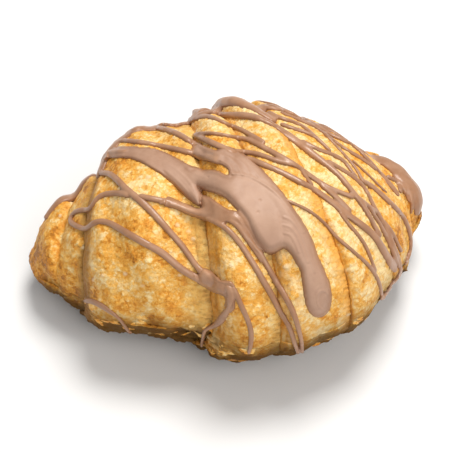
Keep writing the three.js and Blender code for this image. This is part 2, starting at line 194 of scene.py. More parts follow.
def through(sizes, t):
    """A smooth run through a size given at the start, the middle and the end."""
    start, middle, end = sizes
    return start * (1 - t) * (1 - 2 * t) + 4 * middle * t * (1 - t) + end * t * (2 * t - 1)


def smooth_step(low, high, value):
    """A soft change from 0 at low to 1 at high."""
    share = np.clip((value - low) / (high - low), 0, 1)
    return share * share * (3 - 2 * share)


def fading(distance, length):
    """A share that falls from 1 to 0 over a length."""
    return np.clip(1 - distance / length, 0, 1)


def tip_size(sizes, inwards, blunt=0.0, taper=1.0):
    """A tip closes in a round end and then grows to its inner edge."""
    outer, middle, inner = sizes
    closing = np.clip(1 - (1 - inwards / TIP_ROUND) ** 2, 0, 1) ** (0.5 * taper)
    round_end = outer + (middle - outer) * (blunt + (1 - blunt) * closing)
    grown = middle + (inner - middle) * np.clip((inwards - TIP_ROUND) / (1 - TIP_ROUND), 0, 1) ** TIP_FLARE
    return np.where(inwards >= TIP_ROUND, grown, round_end)


def edge_place(number, angle):
    """Where an edge between turns lies along the centre line, at an angle round it."""
    front, crest, back, under = EDGES[number]
    side = np.where(np.cos(angle) > 0, front, back)
    middle = np.where(np.sin(angle) > 0, crest, under)
    sweep = np.where(np.sin(angle) > 0, np.cos(angle) ** 2, np.cos(angle) ** 4)
    return middle + (side - middle) * sweep


def turn_shape(index, t, angle):
    """A turn's points as (along, back, up), at t from its left to its right edge."""
    turn = TURNS[index]
    cos, sin = np.cos(angle), np.sin(angle)
    left, right = edge_place(index, angle), edge_place(index + 1, angle)
    along = left + (right - left) * t
    half, tall = through(turn["half"], t), through(turn["tall"], t)
    if index == 0:
        half, tall = tip_size(turn["half"], t), tip_size(turn["tall"], t, TIP_BLUNT[0], TIP_TAPER[0])
    if index == LAST_TURN:
        half = tip_size(turn["half"][::-1], 1 - t)
        tall = tip_size(turn["tall"][::-1], 1 - t, TIP_BLUNT[1], TIP_TAPER[1])
    to_left = t * (right - left) if index > 0 else EDGE_ROLL_LENGTH
    to_right = (1 - t) * (right - left) if index < LAST_TURN else EDGE_ROLL_LENGTH
    near = np.minimum(np.minimum(to_left, to_right), EDGE_ROLL_LENGTH) / EDGE_ROLL_LENGTH
    round_angle = angle % (2 * math.pi)
    lump = LUMP * sum(share * np.sin(along * lengthwise + round_angle * turning + index * shift)
                      for lengthwise, turning, shift, share in LUMP_WAVES)
    grow = (lump * near - EDGE_ROLL * (1 - near) ** 2) * np.minimum(1, half / LUMP_FULL_FROM)
    grow = grow - SHOULDER[index] * fading(t * (right - left), SHOULDER_LENGTH) ** 2
    half, tall = half + grow, tall + grow * RISE_UPWARDS
    waist = WAIST * tall
    up = np.where(sin > 0, waist + (tall - waist) * sin, waist + waist * UNDER_FULLNESS * sin)
    up = np.maximum(0, up + through(turn["lift"], t))
    foot = (FOOT_IN[index][0] * (1 - t) + FOOT_IN[index][1] * t) * np.minimum(1, half / LUMP_FULL_FROM)
    front = half * cos - foot * np.clip(cos, 0, 1) * smooth_step(*FOOT_HEIGHTS, sin)
    return np.stack(np.broadcast_arrays(along, through(turn["back"], t) - front, up), -1)


def from_centre_line(shape):
    """Places in millimetres from (along the centre line, back from it, up)."""
    along, back, up = shape[..., 0], shape[..., 1], shape[..., 2]
    bend = np.where(along < 0, BEND_LEFT, BEND_RIGHT)
    x = np.sin(bend * along) * (1 / bend - back)
    y = 1 / bend - np.cos(bend * along) * (1 / bend - back)
    return np.stack((x, y, up), -1)


def angles_round(count):
    """Angles round a turn, from the seam underneath, closer together where it shows."""
    fine = np.linspace(-math.pi / 2, 1.5 * math.pi, FINE_ANGLES)
    density = np.where(np.sin(fine) < FLAT_BELOW, UNDER_THINNING, 1.0)
    run = np.concatenate(((0,), np.cumsum((density[1:] + density[:-1]) / 2)))
    return np.interp(np.arange(count) / count, run / run[-1], fine)


def turn_end(index, rim, angle, is_left):
    """Rows that close a turn's end, from its rim inwards, and how deep each lies."""
    proud = index in (PROUD_AT_LEFT if is_left else PROUD_AT_RIGHT)
    outwards = -1 if is_left else 1
    centre = rim.copy()
    centre[:, 1] = TURNS[index]["back"][0 if is_left else 2]
    centre[:, 2] = rim[:, 2].max() * WAIST
    if not proud:
        tucked = rim + (centre - rim) * TUCK_NARROWER
        tucked[:, 0] += outwards * TUCK
        centre[:, 0] = tucked[:, 0].mean()
        return [tucked, centre], [np.full_like(angle, NO_EDGE)] * 2
    neighbour = index - 1 if is_left else index + 1
    inner = turn_shape(neighbour, np.float64(1.0 if is_left else 0.0), angle)
    step = np.linalg.norm(inner - rim, axis=1)
    inner = rim + (inner - rim) * ((step + TUCK) / np.maximum(step, LEAST_STEP))[:, None]
    count = math.ceil((step.max() + TUCK) / SPACING)
    shares = np.arange(1, count + 1) / count
    rows = [rim + (inner - rim) * share for share in shares]
    centre[:, 0] = inner[:, 0].mean()
    return rows + [centre], [(step + TUCK) * share for share in shares] + [np.full_like(angle, NO_EDGE)]


def build_turn(index):
    """One turn as rows of points: closed end, surface from left to right, closed end. With each
    point: its distance from a proud rim and from a tucked edge, and its run along the line."""
    turn = TURNS[index]
    widest, tallest = max(turn["half"]), max(turn["tall"]) / 2
    angle = angles_round(round(2 * math.pi * math.sqrt((widest ** 2 + tallest ** 2) / 2) / SPACING))
    length = EDGES[index + 1, 0] - EDGES[index, 0]
    t = np.linspace(0, 1, round(length / SPACING))
    tip_rows = round(TIP_ROWS * length / SPACING)
    if index == 0:
        t = np.linspace(TIP_START, 1, tip_rows) ** TIP_CROWDING
    if index == LAST_TURN:
        t = 1 - np.linspace(1, TIP_START, tip_rows) ** TIP_CROWDING
    surface = turn_shape(index, t[:, None], angle[None, :])
    from_rim = np.full(surface.shape[:2], NO_EDGE)
    from_tuck = from_rim.copy()
    for is_left, proud_turns in ((True, PROUD_AT_LEFT), (False, PROUD_AT_RIGHT)):
        if index == (0 if is_left else LAST_TURN):
            continue
        to_edge = surface[..., 0] - edge_place(index, angle) if is_left else (
            edge_place(index + 1, angle) - surface[..., 0])
        nearer = from_rim if index in proud_turns else from_tuck
        np.minimum(nearer, to_edge, out=nearer)
    layers = [surface, from_rim, from_tuck, surface[..., 0]]
    for is_left in (True, False):
        end = 0 if is_left else -1
        if index == (0 if is_left else LAST_TURN):
            closed = surface[end].mean(0) + np.zeros((1, *surface[0].shape))
            added = [closed, from_rim[end][None], from_tuck[end][None], surface[end][None, :, 0]]
        else:
            rows, depths = turn_end(index, surface[end], angle, is_left)
            rows, depths = np.array(rows), np.array(depths)
            run = surface[end, :, 0] + (-depths if is_left else depths)
            added = [rows, -depths, np.full_like(depths, NO_EDGE), run]
            if is_left:
                added = [part[::-1] for part in added]
        layers = [np.concatenate((part, layer) if is_left else (layer, part))
                  for layer, part in zip(layers, added)]
    return [angle] + layers


def outward_normals(places):
    """Normals of a rolled grid of places (rows, points round)."""
    around = np.roll(places, -1, axis=1) - np.roll(places, 1, axis=1)
    return unit(np.cross(np.gradient(places, axis=0), around))


def unit(vectors):
    """The same directions with a length of one."""
    return vectors / np.maximum(np.linalg.norm(vectors, axis=-1, keepdims=True), LEAST_LENGTH)


def random_of(cell):
    """A repeatable random share from a cell's place."""
    return np.abs(np.sin(cell @ np.array(CELL_MIX)) * CELL_SPREAD) % 1.0


def select_only(pieces):
    """Selects these pieces alone, the first one active."""
    deselect_all()
    for piece in pieces:
        piece.select_set(True)
    bpy.context.view_layer.objects.active = pieces[0]


def close_up(piece):
    """Merges what meets and turns the faces outwards."""
    select_only([piece])
    bpy.ops.object.mode_set(mode="EDIT")
    bpy.ops.mesh.select_all(action="SELECT")
    bpy.ops.mesh.remove_doubles(threshold=MERGE_WITHIN)
    bpy.ops.mesh.select_all(action="SELECT")
    bpy.ops.mesh.normals_make_consistent(inside=False)
    bpy.ops.object.mode_set(mode="OBJECT")


def roll_up(rings):
    """A new grid, laid on rings of places and joined along its seam. It isn't merged yet."""
    deselect_all()
    rows, points = rings.shape[:2]
    bpy.ops.mesh.primitive_grid_add(x_subdivisions=rows - 1, y_subdivisions=points, size=2.0)
    piece = bpy.context.object
    closed = np.concatenate((rings, rings[:, :1]), axis=1).transpose(1, 0, 2)
    piece.data.vertices.foreach_set("co", in_part(closed).ravel())
    return piece


def keep_values(piece, values_by_name):
    """Keeps values of the surface with its points, for the materials to read."""
    for value_name, values in values_by_name.items():
        attribute = piece.data.attributes.new(value_name, "FLOAT", "POINT")
        attribute.data.foreach_set("value", values.astype(np.float32).ravel())


# the crust's relief, in millimetres
SWELL_SIZE, SWELL_HEIGHT = 12.0, 0.75
WRINKLE_SIZE, WRINKLE_HEIGHT = 4.2, 0.38
FINE_WRINKLE_SIZE, FINE_WRINKLE_SHARE = 1.9, 0.5
SCALE_SIZE, SCALE_HEIGHT = 1.8, 0.17     # a fine crackle of small flakes
SCALE_GAP, SCALE_EVEN = (0.03, 0.28), 0.5
SCALE_BEND, SCALE_BEND_SIZES = 0.8, (3.1, 2.7)
BLISTER_SIZE, BLISTER_RADIUS, BLISTER_HEIGHT = 3.6, 0.8, 0.30
BLISTERS_FROM = 0.80                     # only the cells whose random value is higher have one
FLAKE_SIZE, FLAKE_STEP = 7.0, 0.30       # larger flakes, whose broken edges stand up
FLAKE_NARROWER, RAGGED_SHARE, RAGGED_FINER = 1.5, 0.35, 2.7
FLAKE_LEVELS, FLAKE_RISE, FLAKE_EDGE = 3.2, (0.0, 0.22), (0.05, 0.30)
FLAKING_LEAST, FLAKING_MORE, FLAKING_HEIGHTS = 0.25, 0.95, (32, 9)   # flakes show most low down
LAYER_SPACING, LAYER_DEPTH = 1.15, 0.34
LAYER_REACH = (3.0, 5.5, 7.5, 7.0, 1.8, 2.6, 3.0)   # how far each turn shows its layers from its rim
LAYER_FADE, LAYER_SHARPNESS, LAYER_WAVER, LAYER_SMOOTHS = 1.5, 0.6, 0.7, 0.6
WAVER_SIZES, WAVER_SHARE = (7.0, 2.5), 0.4
PORE_SIZE, PORE_DEPTH, PORE_ROUND = 1.5, 0.5, (0.18, 0.45)
# how far each turn stays pale and open where it tucks under
PORE_REACH = (3.0, 8.0, 4.0, 4.0, 4.0, 4.0, 4.0)
GRAIN_SIZE, GRAIN_HEIGHT = 0.9, 0.14
STREAK_SIZES, FINE_STREAK_SHARE, STREAK_FINER = (0.9, 11.0), 0.5, 2.1
PATCH_SIZE = 16.0
STREAK_SPREAD, PATCH_SPREAD = 0.85, 0.5  # how far they vary about a half
# how far each turn swells up to the turn over it, and over which length
TUCK_FILL = ((0.6, 2.0), (4.3, 9.0), (1.8, 3.4), (1.4, 2.8), (1.2, 2.6), (1.2, 2.6), (1.2, 2.6))
# rounded lumps low down in front, where the third turn starts and on the turn beside it
BUBBLE_HEIGHT, BUBBLE_ROUND, BUBBLE_SUNK, BUBBLES_BELOW = 1.5, 0.55, 0.5, (30, 20)
BUBBLES_FROM_RIM, BUBBLES_PAST_RIM, BUBBLES_FROM_TUCK = (8, 4), (-3, 0), (13, 7)
BUBBLE_TURN, BUBBLES_UP_TO, BUBBLES_BACK_TO = 2, 0.9, -0.1   # up to this sine and cosine of the angle
# painted shade fills the crevices between those lumps
CREVICE_SHADE_ROUND = (0.0, 0.35)
# painted shade low down and where the crust faces down, over a little browning: below which heights each turn
# darkens, and between which slopes
UNDER_HEIGHTS = ((12, 3), (23, 5), (15, 3), (14, 3), (13, 3), (13, 3), (10, 2))   # where each darkens
UNDER_SLOPES, UNDER_SHARE = (0.30, -0.40), 0.95
# how pale each turn was baked, and how much paler it gets towards the crest over which heights: partly a
# lighter bake, partly painted light falling on the top
BAKE = (0.41, 0.44, 0.51, 0.61, 0.58, 0.45, 0.36)
BAKE_AND_LIGHT_RISE, BAKE_HEIGHTS, BAKE_EVEN_AT = 0.28, (5, 42), 0.75
AMBER_SHADE_TUCKS = (3, 5)                     # turns that get painted amber shade in the valley where they tuck under
# painted shade in the crease beside the turn over it: how far it reaches on each turn, and how dark it is
CREASE_SHADE_REACH = (2.6, 1.6, 0.9, 0.6, 0.7, 0.6, 0.8)
CREASE_SHADE_SHARE = (0.90, 0.50, 0.55, 0.55, 0.55, 0.55, 0.55)
SHADED_SHOULDER_TURN = 1                            # the turn whose whole shoulder carries painted shade
WALL_SHADE_FROM_RIM = {True: (3.8, 1.6), False: (-1.2, -3.0)}   # on that turn, and on the others
RUN_END, TURN_SHIFT = 90, 61.0
SETTLED_FROM, FULL_RELIEF_GIRTH = 2.5, 16


def crust_fields(index, angle, run, radii):
    """Raw patterns over a turn. They are worked out on a round bar, so that they meet at the seam."""
    cos, sin = np.cos(angle), np.sin(angle)
    shift = TURN_SHIFT * index
    names = ("swell", "wrinkle", "scale_gap", "blister", "flake", "waver", "pore", "grain", "streak",
             "patch")
    fields = {name: np.zeros(run.shape) for name in names}
    scale_cell = np.zeros((*run.shape, 3))
    blister_cell = np.zeros((*run.shape, 3))
    fine_across, long_across = STREAK_SIZES
    for row in range(run.shape[0]):
        for point in range(run.shape[1]):
            at = Vector((run[row, point] + shift, radii[row] * cos[point], radii[row] * sin[point]))
            wrinkle = noise.noise(at / WRINKLE_SIZE)
            bending = (wrinkle, *(noise.noise(at / size) for size in SCALE_BEND_SIZES))
            fields["swell"][row, point] = noise.noise(at / SWELL_SIZE)
            fields["wrinkle"][row, point] = wrinkle + FINE_WRINKLE_SHARE * noise.noise(at / FINE_WRINKLE_SIZE)
            distances, cells = noise.voronoi((at + Vector(bending) * SCALE_BEND) / SCALE_SIZE)
            fields["scale_gap"][row, point] = distances[1] - distances[0]
            scale_cell[row, point] = cells[0]
            distances, cells = noise.voronoi(at / BLISTER_SIZE)
            fields["blister"][row, point] = distances[0]
            blister_cell[row, point] = cells[0]
            stretched = Vector((at.x * FLAKE_NARROWER, at.y, at.z)) / FLAKE_SIZE
            fields["flake"][row, point] = (noise.noise(stretched)
                                           + RAGGED_SHARE * noise.noise(stretched * RAGGED_FINER))
            fields["waver"][row, point] = (noise.noise(at / WAVER_SIZES[0])
                                           + WAVER_SHARE * noise.noise(at / WAVER_SIZES[1]))
            fields["pore"][row, point] = noise.voronoi(at / PORE_SIZE)[0][0]
            fields["grain"][row, point] = noise.noise(at / GRAIN_SIZE)
            lengthwise = Vector((at.x / fine_across, at.y / long_across, at.z / long_across))
            fields["streak"][row, point] = (noise.noise(lengthwise)
                                            + FINE_STREAK_SHARE * noise.noise(lengthwise * STREAK_FINER))
            fields["patch"][row, point] = noise.noise(at / PATCH_SIZE)
    fields["scale_random"] = random_of(scale_cell)
    fields["blister_random"] = random_of(blister_cell)
    return fields


turn_pieces = []
crust_places = []                        # rows of places of each turn, for laying the chocolate
for index in range(len(TURNS)):
    angle, shape, from_rim, from_tuck, run = build_turn(index)
    places = from_centre_line(shape)
    normals = outward_normals(places)
    heights = places[..., 2]
    girths = np.ptp(shape[..., 1], axis=1)
    radii = (girths + np.ptp(shape[..., 2], axis=1)) / 4
    fields = crust_fields(index, angle, np.clip(run, -RUN_END, RUN_END), radii)

    layer_zone = fading(np.maximum(from_rim, 0), LAYER_REACH[index]) ** LAYER_FADE
    layer_run = from_rim + fields["waver"] * LAYER_WAVER
    layer_wave = np.abs(np.sin(math.pi * layer_run / LAYER_SPACING)) ** LAYER_SHARPNESS
    tuck_zone = fading(from_tuck, PORE_REACH[index])
    low_zone = FLAKING_LEAST + FLAKING_MORE * smooth_step(*FLAKING_HEIGHTS, heights)
    scale_top = smooth_step(*SCALE_GAP, fields["scale_gap"])
    scale_size = SCALE_EVEN + (1 - SCALE_EVEN) * fields["scale_random"]
    scale = scale_top * scale_size * (1 - LAYER_SMOOTHS * layer_zone)
    blister_round = np.clip(1 - (fields["blister"] * BLISTER_SIZE / BLISTER_RADIUS) ** 2, 0, 1)
    blister = np.sqrt(blister_round) * (fields["blister_random"] > BLISTERS_FROM)
    level = fields["flake"] * FLAKE_LEVELS
    flake = np.floor(level) + smooth_step(*FLAKE_RISE, level % 1.0)
    # the steps of the flakes: their broken edges browned, and painted shade darkening each step low down
    flake_edge = (1 - smooth_step(*FLAKE_EDGE, level % 1.0)) * low_zone
    pore = (1 - smooth_step(*PORE_ROUND, fields["pore"])) * tuck_zone
    beside_rim = smooth_step(*BUBBLES_FROM_RIM, from_rim) * smooth_step(*BUBBLES_PAST_RIM, from_rim)
    beside_tuck = smooth_step(*BUBBLES_FROM_TUCK, from_tuck)
    beside = beside_rim * (index == BUBBLE_TURN) + beside_tuck * (index == BUBBLE_TURN - 1)
    bubble_zone = (smooth_step(*BUBBLES_BELOW, heights) * (np.sin(angle) < BUBBLES_UP_TO) * beside
                   * (np.cos(angle) > BUBBLES_BACK_TO))
    bubble_round = np.clip(1 - (fields["blister"] / BUBBLE_ROUND) ** 2, 0, 1)
    bubble = (np.sqrt(bubble_round) - BUBBLE_SUNK) * bubble_zone
    tuck_rise, tuck_length = TUCK_FILL[index]
    relief = (fields["swell"] * SWELL_HEIGHT + fields["wrinkle"] * WRINKLE_HEIGHT + scale * SCALE_HEIGHT
              + blister * BLISTER_HEIGHT + flake * FLAKE_STEP * low_zone + fields["grain"] * GRAIN_HEIGHT
              + (layer_wave - 1) * LAYER_DEPTH * layer_zone - pore * PORE_DEPTH
              + tuck_rise * fading(from_tuck, tuck_length) ** 2 + bubble * BUBBLE_HEIGHT)
    settled = smooth_step(0, SETTLED_FROM, heights) * np.clip(girths[:, None] / FULL_RELIEF_GIRTH, 0, 1)
    raised = places + normals * (relief * settled)[..., None]
    raised[..., 2] = np.maximum(raised[..., 2], 0)
    raised[0], raised[-1] = places[0], places[-1]

    turn_piece = roll_up(raised)
    turn_piece.name = f"dough_turn_{index + 1}"
    turn_piece.data.uv_layers[0].name = "rolled"
    crust_values = {
        "scale": scale, "blister": blister, "flake_edge": flake_edge, "layer_zone": layer_zone,
        "layer_wave": layer_wave, "tuck_zone": tuck_zone, "pore": pore,
        "browned_and_shaded_underside": np.maximum(smooth_step(*UNDER_SLOPES, normals[..., 2]),
                                UNDER_SHARE * smooth_step(*UNDER_HEIGHTS[index], heights)),
        "streak": fields["streak"] * STREAK_SPREAD + 0.5, "patch": fields["patch"] * PATCH_SPREAD + 0.5,
        "bake_and_top_light": BAKE[index] + BAKE_AND_LIGHT_RISE * (smooth_step(*BAKE_HEIGHTS, heights) - BAKE_EVEN_AT),
        "scale_gap": 1 - scale_top, "amber_valley_shade": tuck_zone * (index in AMBER_SHADE_TUCKS),
        "crease_shade": CREASE_SHADE_SHARE[index] * fading(from_tuck, CREASE_SHADE_REACH[index]),
        # painted shade on the walls under proud rims, and over the whole shoulder of one turn
        "wall_shade": smooth_step(*WALL_SHADE_FROM_RIM[index == SHADED_SHOULDER_TURN], from_rim),
        "crevice_shade": (1 - smooth_step(*CREVICE_SHADE_ROUND, bubble_round)) * bubble_zone,
    }
    keep_values(turn_piece, {value_name: np.concatenate((values, values[:, :1]), axis=1).T
                             for value_name, values in crust_values.items()})
    close_up(turn_piece)
    bpy.ops.object.shade_smooth()
    turn_pieces.append(turn_piece)
    crust_places.append(raised)

# the baked crust's material, and what it needs
BROWN = (0.40, 0.15, 0.018)
AMBER = (0.70, 0.27, 0.026)
GOLDEN = (0.85, 0.425, 0.07)
YELLOW = (0.90, 0.55, 0.16)
CREAM = (0.95, 0.74, 0.38)
CRUST_TONES = ((0.12, BROWN), (0.30, AMBER), (0.50, GOLDEN), (0.70, YELLOW), (0.95, CREAM))
LAYER_TONES = ((0.34, BROWN), (0.52, AMBER), (0.70, GOLDEN), (1.0, CREAM))
BORDER_TONE = (0.52, 0.19, 0.022, 1)
# what makes it paler and darker: sizes in millimetres, and shares
MOTTLES, MOTTLE_RANGE = ((6.5, 0.24), (2.6, 0.12), (1.1, 0.10)), (0.38, 0.62)
SPECK_SIZE, SPECK_RANGE, SPECK_SHARE = 1.0, (0.56, 0.68), 0.20
PATCH_SHARE, PATCH_MIDDLE, SCALE_SHARE = 0.50, 0.25, 0.14
LARGE_FLAKES, LARGE_SHARE, LARGE_BORDER_SHARE = 4.6, 0.28, 0.10
SMALL_FLAKES, SMALL_SHARE, SMALL_BORDER_SHARE = 1.9, 0.26, 0.26
GROOVE_SHADE_SHARE, STREAK_SHARE, LAYER_SHARE = 0.42, 0.62, 0.85
# what is laid over the crust's tone in turn: where, how strongly and in which colour
CRUST_OVERLAYS = (
    ("scale_gap", 0.22, (0.62, 0.24, 0.026)),
    # where the dough tucks under, it stayed pale; painted shade darkens its open pores, and on some turns
    # painted warm shade turns the valley amber
    ("tuck_zone", 0.75, (0.90, 0.58, 0.18)),
    ("pore", 0.65, (0.42, 0.23, 0.06)),
    ("amber_valley_shade", 0.95, (0.82, 0.36, 0.05)),
    # painted shade: in the crease beside the turn over it, in the crevices between lumps, and on the walls
    # under proud rims
    ("crease_shade", 1.0, (0.30, 0.13, 0.022)),
    ("crevice_shade", 0.80, (0.17, 0.08, 0.016)),
    ("wall_shade", 0.75, (0.34, 0.15, 0.025)),
    # pale blisters; the steps of flakes, browned at their edges and darkened with painted shade; and the
    # underside, a little browned and mostly darkened with painted shade, and duller
    ("blister", 0.70, (0.93, 0.76, 0.48)),
    ("flake_edge", 0.34, (0.55, 0.24, 0.045)),
    ("browned_and_shaded_underside", 0.93, (0.085, 0.036, 0.003)),
)
CRUST_SPECULAR = 0.22
GLOSS_PATCHES, GLOSS_RANGE, GLOSS_SHARE = 3.0, (0.3, 0.7), 0.28
CRUST_ROUGHNESS, UNDER_ROUGHER = 0.34, 0.35
CRUMB_SIZE, CRUMB_RANGE = 0.7, (0.2, 0.8)
CRUST_BUMP = {"Strength": 0.7, "Distance": 0.00026}
BUMP_SMALL, BUMP_LARGE = 0.55, 0.7       # the flakes' shares in it, beside the crumb's
RAGGED_NOISE, RAGGED_BY = {"Scale": 1.3, "Detail": 4.0, "Roughness": 0.65}, (1.5, 1.5, 1.5)
FLAKE_VALUES, FLAKE_BORDERS = (0.1, 0.9), (0.07, 0.0)
PATCHES_NOISE = {"Roughness": 0.6, "Distortion": 0.3}


def add_node(tree, kind, inputs=(), **settings):
    """A new node, with its properties as keywords, and a source or a constant for each input."""
    node = tree.nodes.new(kind)
    for key, value in settings.items():
        setattr(node, key, value)
    for key, source in dict(inputs).items():
        if isinstance(source, bpy.types.NodeSocket):
            tree.links.new(source, node.inputs[key])
        else:
            node.inputs[key].default_value = source
    return node


def ramp(tree, factor, stops):
    """A colour ramp: where each colour stands, and the colour."""
    node = add_node(tree, "ShaderNodeValToRGB", {0: factor})
    while len(node.color_ramp.elements) < len(stops):
        node.color_ramp.elements.new(0.5)
    for element, (position, color) in zip(node.color_ramp.elements, stops):
        element.position = position
        element.color = (*color, 1)
    return node.outputs[0]


def blend_colors(tree, factor, first, second):
    """From the first colour to the second, as the factor goes from 0 to 1."""
    return add_node(tree, "ShaderNodeMix", {0: factor, 6: first, 7: second}, data_type="RGBA").outputs[2]


def calculate(tree, operation, first, second=0.0, third=0.0):
    """The result of a Math node."""
    return add_node(tree, "ShaderNodeMath", {0: first, 1: second, 2: third}, operation=operation).outputs[0]


def times(tree, source, share):
    """A share of a source."""
    return calculate(tree, "MULTIPLY", source, share)


def add_share(tree, source, share, base):
    """A share of a source, added to a base."""
    return calculate(tree, "MULTIPLY_ADD", source, share, base)


def surface_value(tree, name):
    """A value that is kept with the surface's points."""
    return add_node(tree, "ShaderNodeAttribute", attribute_name=name).outputs["Fac"]


def new_group(name, input_names, output_names):
    """A shader group with number sockets: the group, its input's sockets and its output's."""
    group = bpy.data.node_groups.new(name, "ShaderNodeTree")
    for in_out, socket_names in (("INPUT", input_names), ("OUTPUT", output_names)):
        for socket_name in socket_names:
            group.interface.new_socket(socket_name, in_out=in_out, socket_type="NodeSocketFloat")
    return group, group.nodes.new("NodeGroupInput").outputs, group.nodes.new("NodeGroupOutput").inputs


# patches of uneven colour, used by the crust and by the chocolate
patches, patches_in, patches_out = new_group("uneven_patches", ("Size", "Detail", "Low", "High"), ("Mask",))
patches_noise = add_node(patches, "ShaderNodeTexNoise", {
    "Vector": patches.nodes.new("ShaderNodeTexCoord").outputs["Object"],
    "Scale": calculate(patches, "DIVIDE", 1.0, patches_in["Size"]),
    "Detail": patches_in["Detail"], **PATCHES_NOISE})
patches_mask = add_node(patches, "ShaderNodeMapRange", {
    "Value": patches_noise.outputs["Fac"], "From Min": patches_in["Low"],
    "From Max": patches_in["High"]}, interpolation_type="SMOOTHSTEP")
patches.links.new(patches_mask.outputs["Result"], patches_out["Mask"])

# thin flakes with sharp, ragged borders: each has a random value, and its border is marked
flaking, flaking_in, flaking_out = new_group("thin_flakes", ("Size",), ("Value", "Border"))
scaled = add_node(flaking, "ShaderNodeVectorMath", {
    0: flaking.nodes.new("ShaderNodeTexCoord").outputs["Object"],
    "Scale": calculate(flaking, "DIVIDE", 1.0, flaking_in["Size"])}, operation="SCALE").outputs[0]
ragged = add_node(flaking, "ShaderNodeTexNoise", {"Vector": scaled, **RAGGED_NOISE}).outputs["Color"]
ragged_place = add_node(flaking, "ShaderNodeVectorMath", {0: ragged, 1: RAGGED_BY, 2: scaled},
                        operation="MULTIPLY_ADD").outputs[0]
for feature, output_name, socket_name, (low, high) in (
        ("F1", "Color", "Value", FLAKE_VALUES), ("DISTANCE_TO_EDGE", "Distance", "Border", FLAKE_BORDERS)):
    cells = add_node(flaking, "ShaderNodeTexVoronoi", {"Vector": ragged_place, "Scale": 1.0},
                     feature=feature)
    cell_mask = add_node(flaking, "ShaderNodeMapRange", {
        "Value": cells.outputs[output_name], "From Min": low, "From Max": high},
        interpolation_type="SMOOTHSTEP")
    flaking.links.new(cell_mask.outputs["Result"], flaking_out[socket_name])


def uneven(tree, size, low_high, detail=3.0):
    """A mask of patches of a size in millimetres, which starts and is full at two noise values."""
    node = add_node(tree, "ShaderNodeGroup", node_tree=patches)
    for key, value in (("Size", size * MM), ("Detail", detail), ("Low", low_high[0]), ("High", low_high[1])):
        node.inputs[key].default_value = value
    return node.outputs["Mask"]


def flakes_of(tree, size):
    """Flakes of a size in millimetres: each one's value, and the mask of its border."""
    node = add_node(tree, "ShaderNodeGroup", node_tree=flaking)
    node.inputs["Size"].default_value = size * MM
    return node.outputs["Value"], node.outputs["Border"]


crust, tree, crust_shader = new_material("baked_crust")
# how pale the crust is, from 0, browned, to 1, cream: the turn's bake with painted light on top, patches and
# fine mottles
paleness = add_share(tree, surface_value(tree, "patch"), PATCH_SHARE, -PATCH_MIDDLE)
paleness = calculate(tree, "ADD", paleness, surface_value(tree, "bake_and_top_light"))
for mottle_size, mottle_share in MOTTLES:
    mottle = calculate(tree, "SUBTRACT", uneven(tree, mottle_size, MOTTLE_RANGE), 0.5)
    paleness = add_share(tree, mottle, mottle_share, paleness)
paleness = add_share(tree, uneven(tree, SPECK_SIZE, SPECK_RANGE, detail=2.0), SPECK_SHARE, paleness)
paleness = add_share(tree, surface_value(tree, "scale"), SCALE_SHARE, paleness)
large_flakes, large_borders = flakes_of(tree, LARGE_FLAKES)
small_flakes, small_borders = flakes_of(tree, SMALL_FLAKES)
for flake_value, flake_share in ((large_flakes, LARGE_SHARE), (small_flakes, SMALL_SHARE)):
    paleness = add_share(tree, calculate(tree, "SUBTRACT", flake_value, 0.5), flake_share, paleness)
paleness = add_share(tree, large_borders, LARGE_BORDER_SHARE, paleness)
crust_tone = ramp(tree, paleness, CRUST_TONES)

# the layers beside a rim and down the step: streaks of amber and cream, with painted shade in the grooves
# between layers
layer_streak_and_shade = add_share(tree, surface_value(tree, "layer_wave"), GROOVE_SHADE_SHARE,
                        times(tree, surface_value(tree, "streak"), STREAK_SHARE))
crust_tone = blend_colors(tree, times(tree, surface_value(tree, "layer_zone"), LAYER_SHARE), crust_tone,
                          ramp(tree, layer_streak_and_shade, LAYER_TONES))
crust_tone = blend_colors(tree, times(tree, small_borders, SMALL_BORDER_SHARE), crust_tone, BORDER_TONE)
for value_name, share, color in CRUST_OVERLAYS:
    mask = times(tree, surface_value(tree, value_name), share)
    crust_tone = blend_colors(tree, mask, crust_tone, (*color, 1))
tree.links.new(crust_tone, crust_shader.inputs["Base Color"])
dullness = add_share(tree, uneven(tree, GLOSS_PATCHES, GLOSS_RANGE), GLOSS_SHARE, CRUST_ROUGHNESS)
dullness = add_share(tree, surface_value(tree, "browned_and_shaded_underside"), UNDER_ROUGHER, dullness)
tree.links.new(dullness, crust_shader.inputs["Roughness"])
crust_shader.inputs["Specular IOR Level"].default_value = CRUST_SPECULAR
fine_height = add_share(tree, small_flakes, BUMP_SMALL, uneven(tree, CRUMB_SIZE, CRUMB_RANGE))
fine_height = add_share(tree, large_flakes, BUMP_LARGE, fine_height)
fine_bump = add_node(tree, "ShaderNodeBump", {**CRUST_BUMP, "Height": fine_height})
tree.links.new(fine_bump.outputs[0], crust_shader.inputs["Normal"])


def dress(piece, material):
    """Gives a piece its material, and puts it in the place of the solid croissant."""
    piece.data.materials.clear()
    piece.data.materials.append(material)
    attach(piece, "root")
    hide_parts("croissant")


for turn_piece in turn_pieces:
    dress(turn_piece, crust)

# ------------------------------------------------------------------ lifted flakes
# Thin flakes of crust have come loose and lifted a little, most of them low down, and still hang
# on by one side. They are of the same baked dough as the turns.

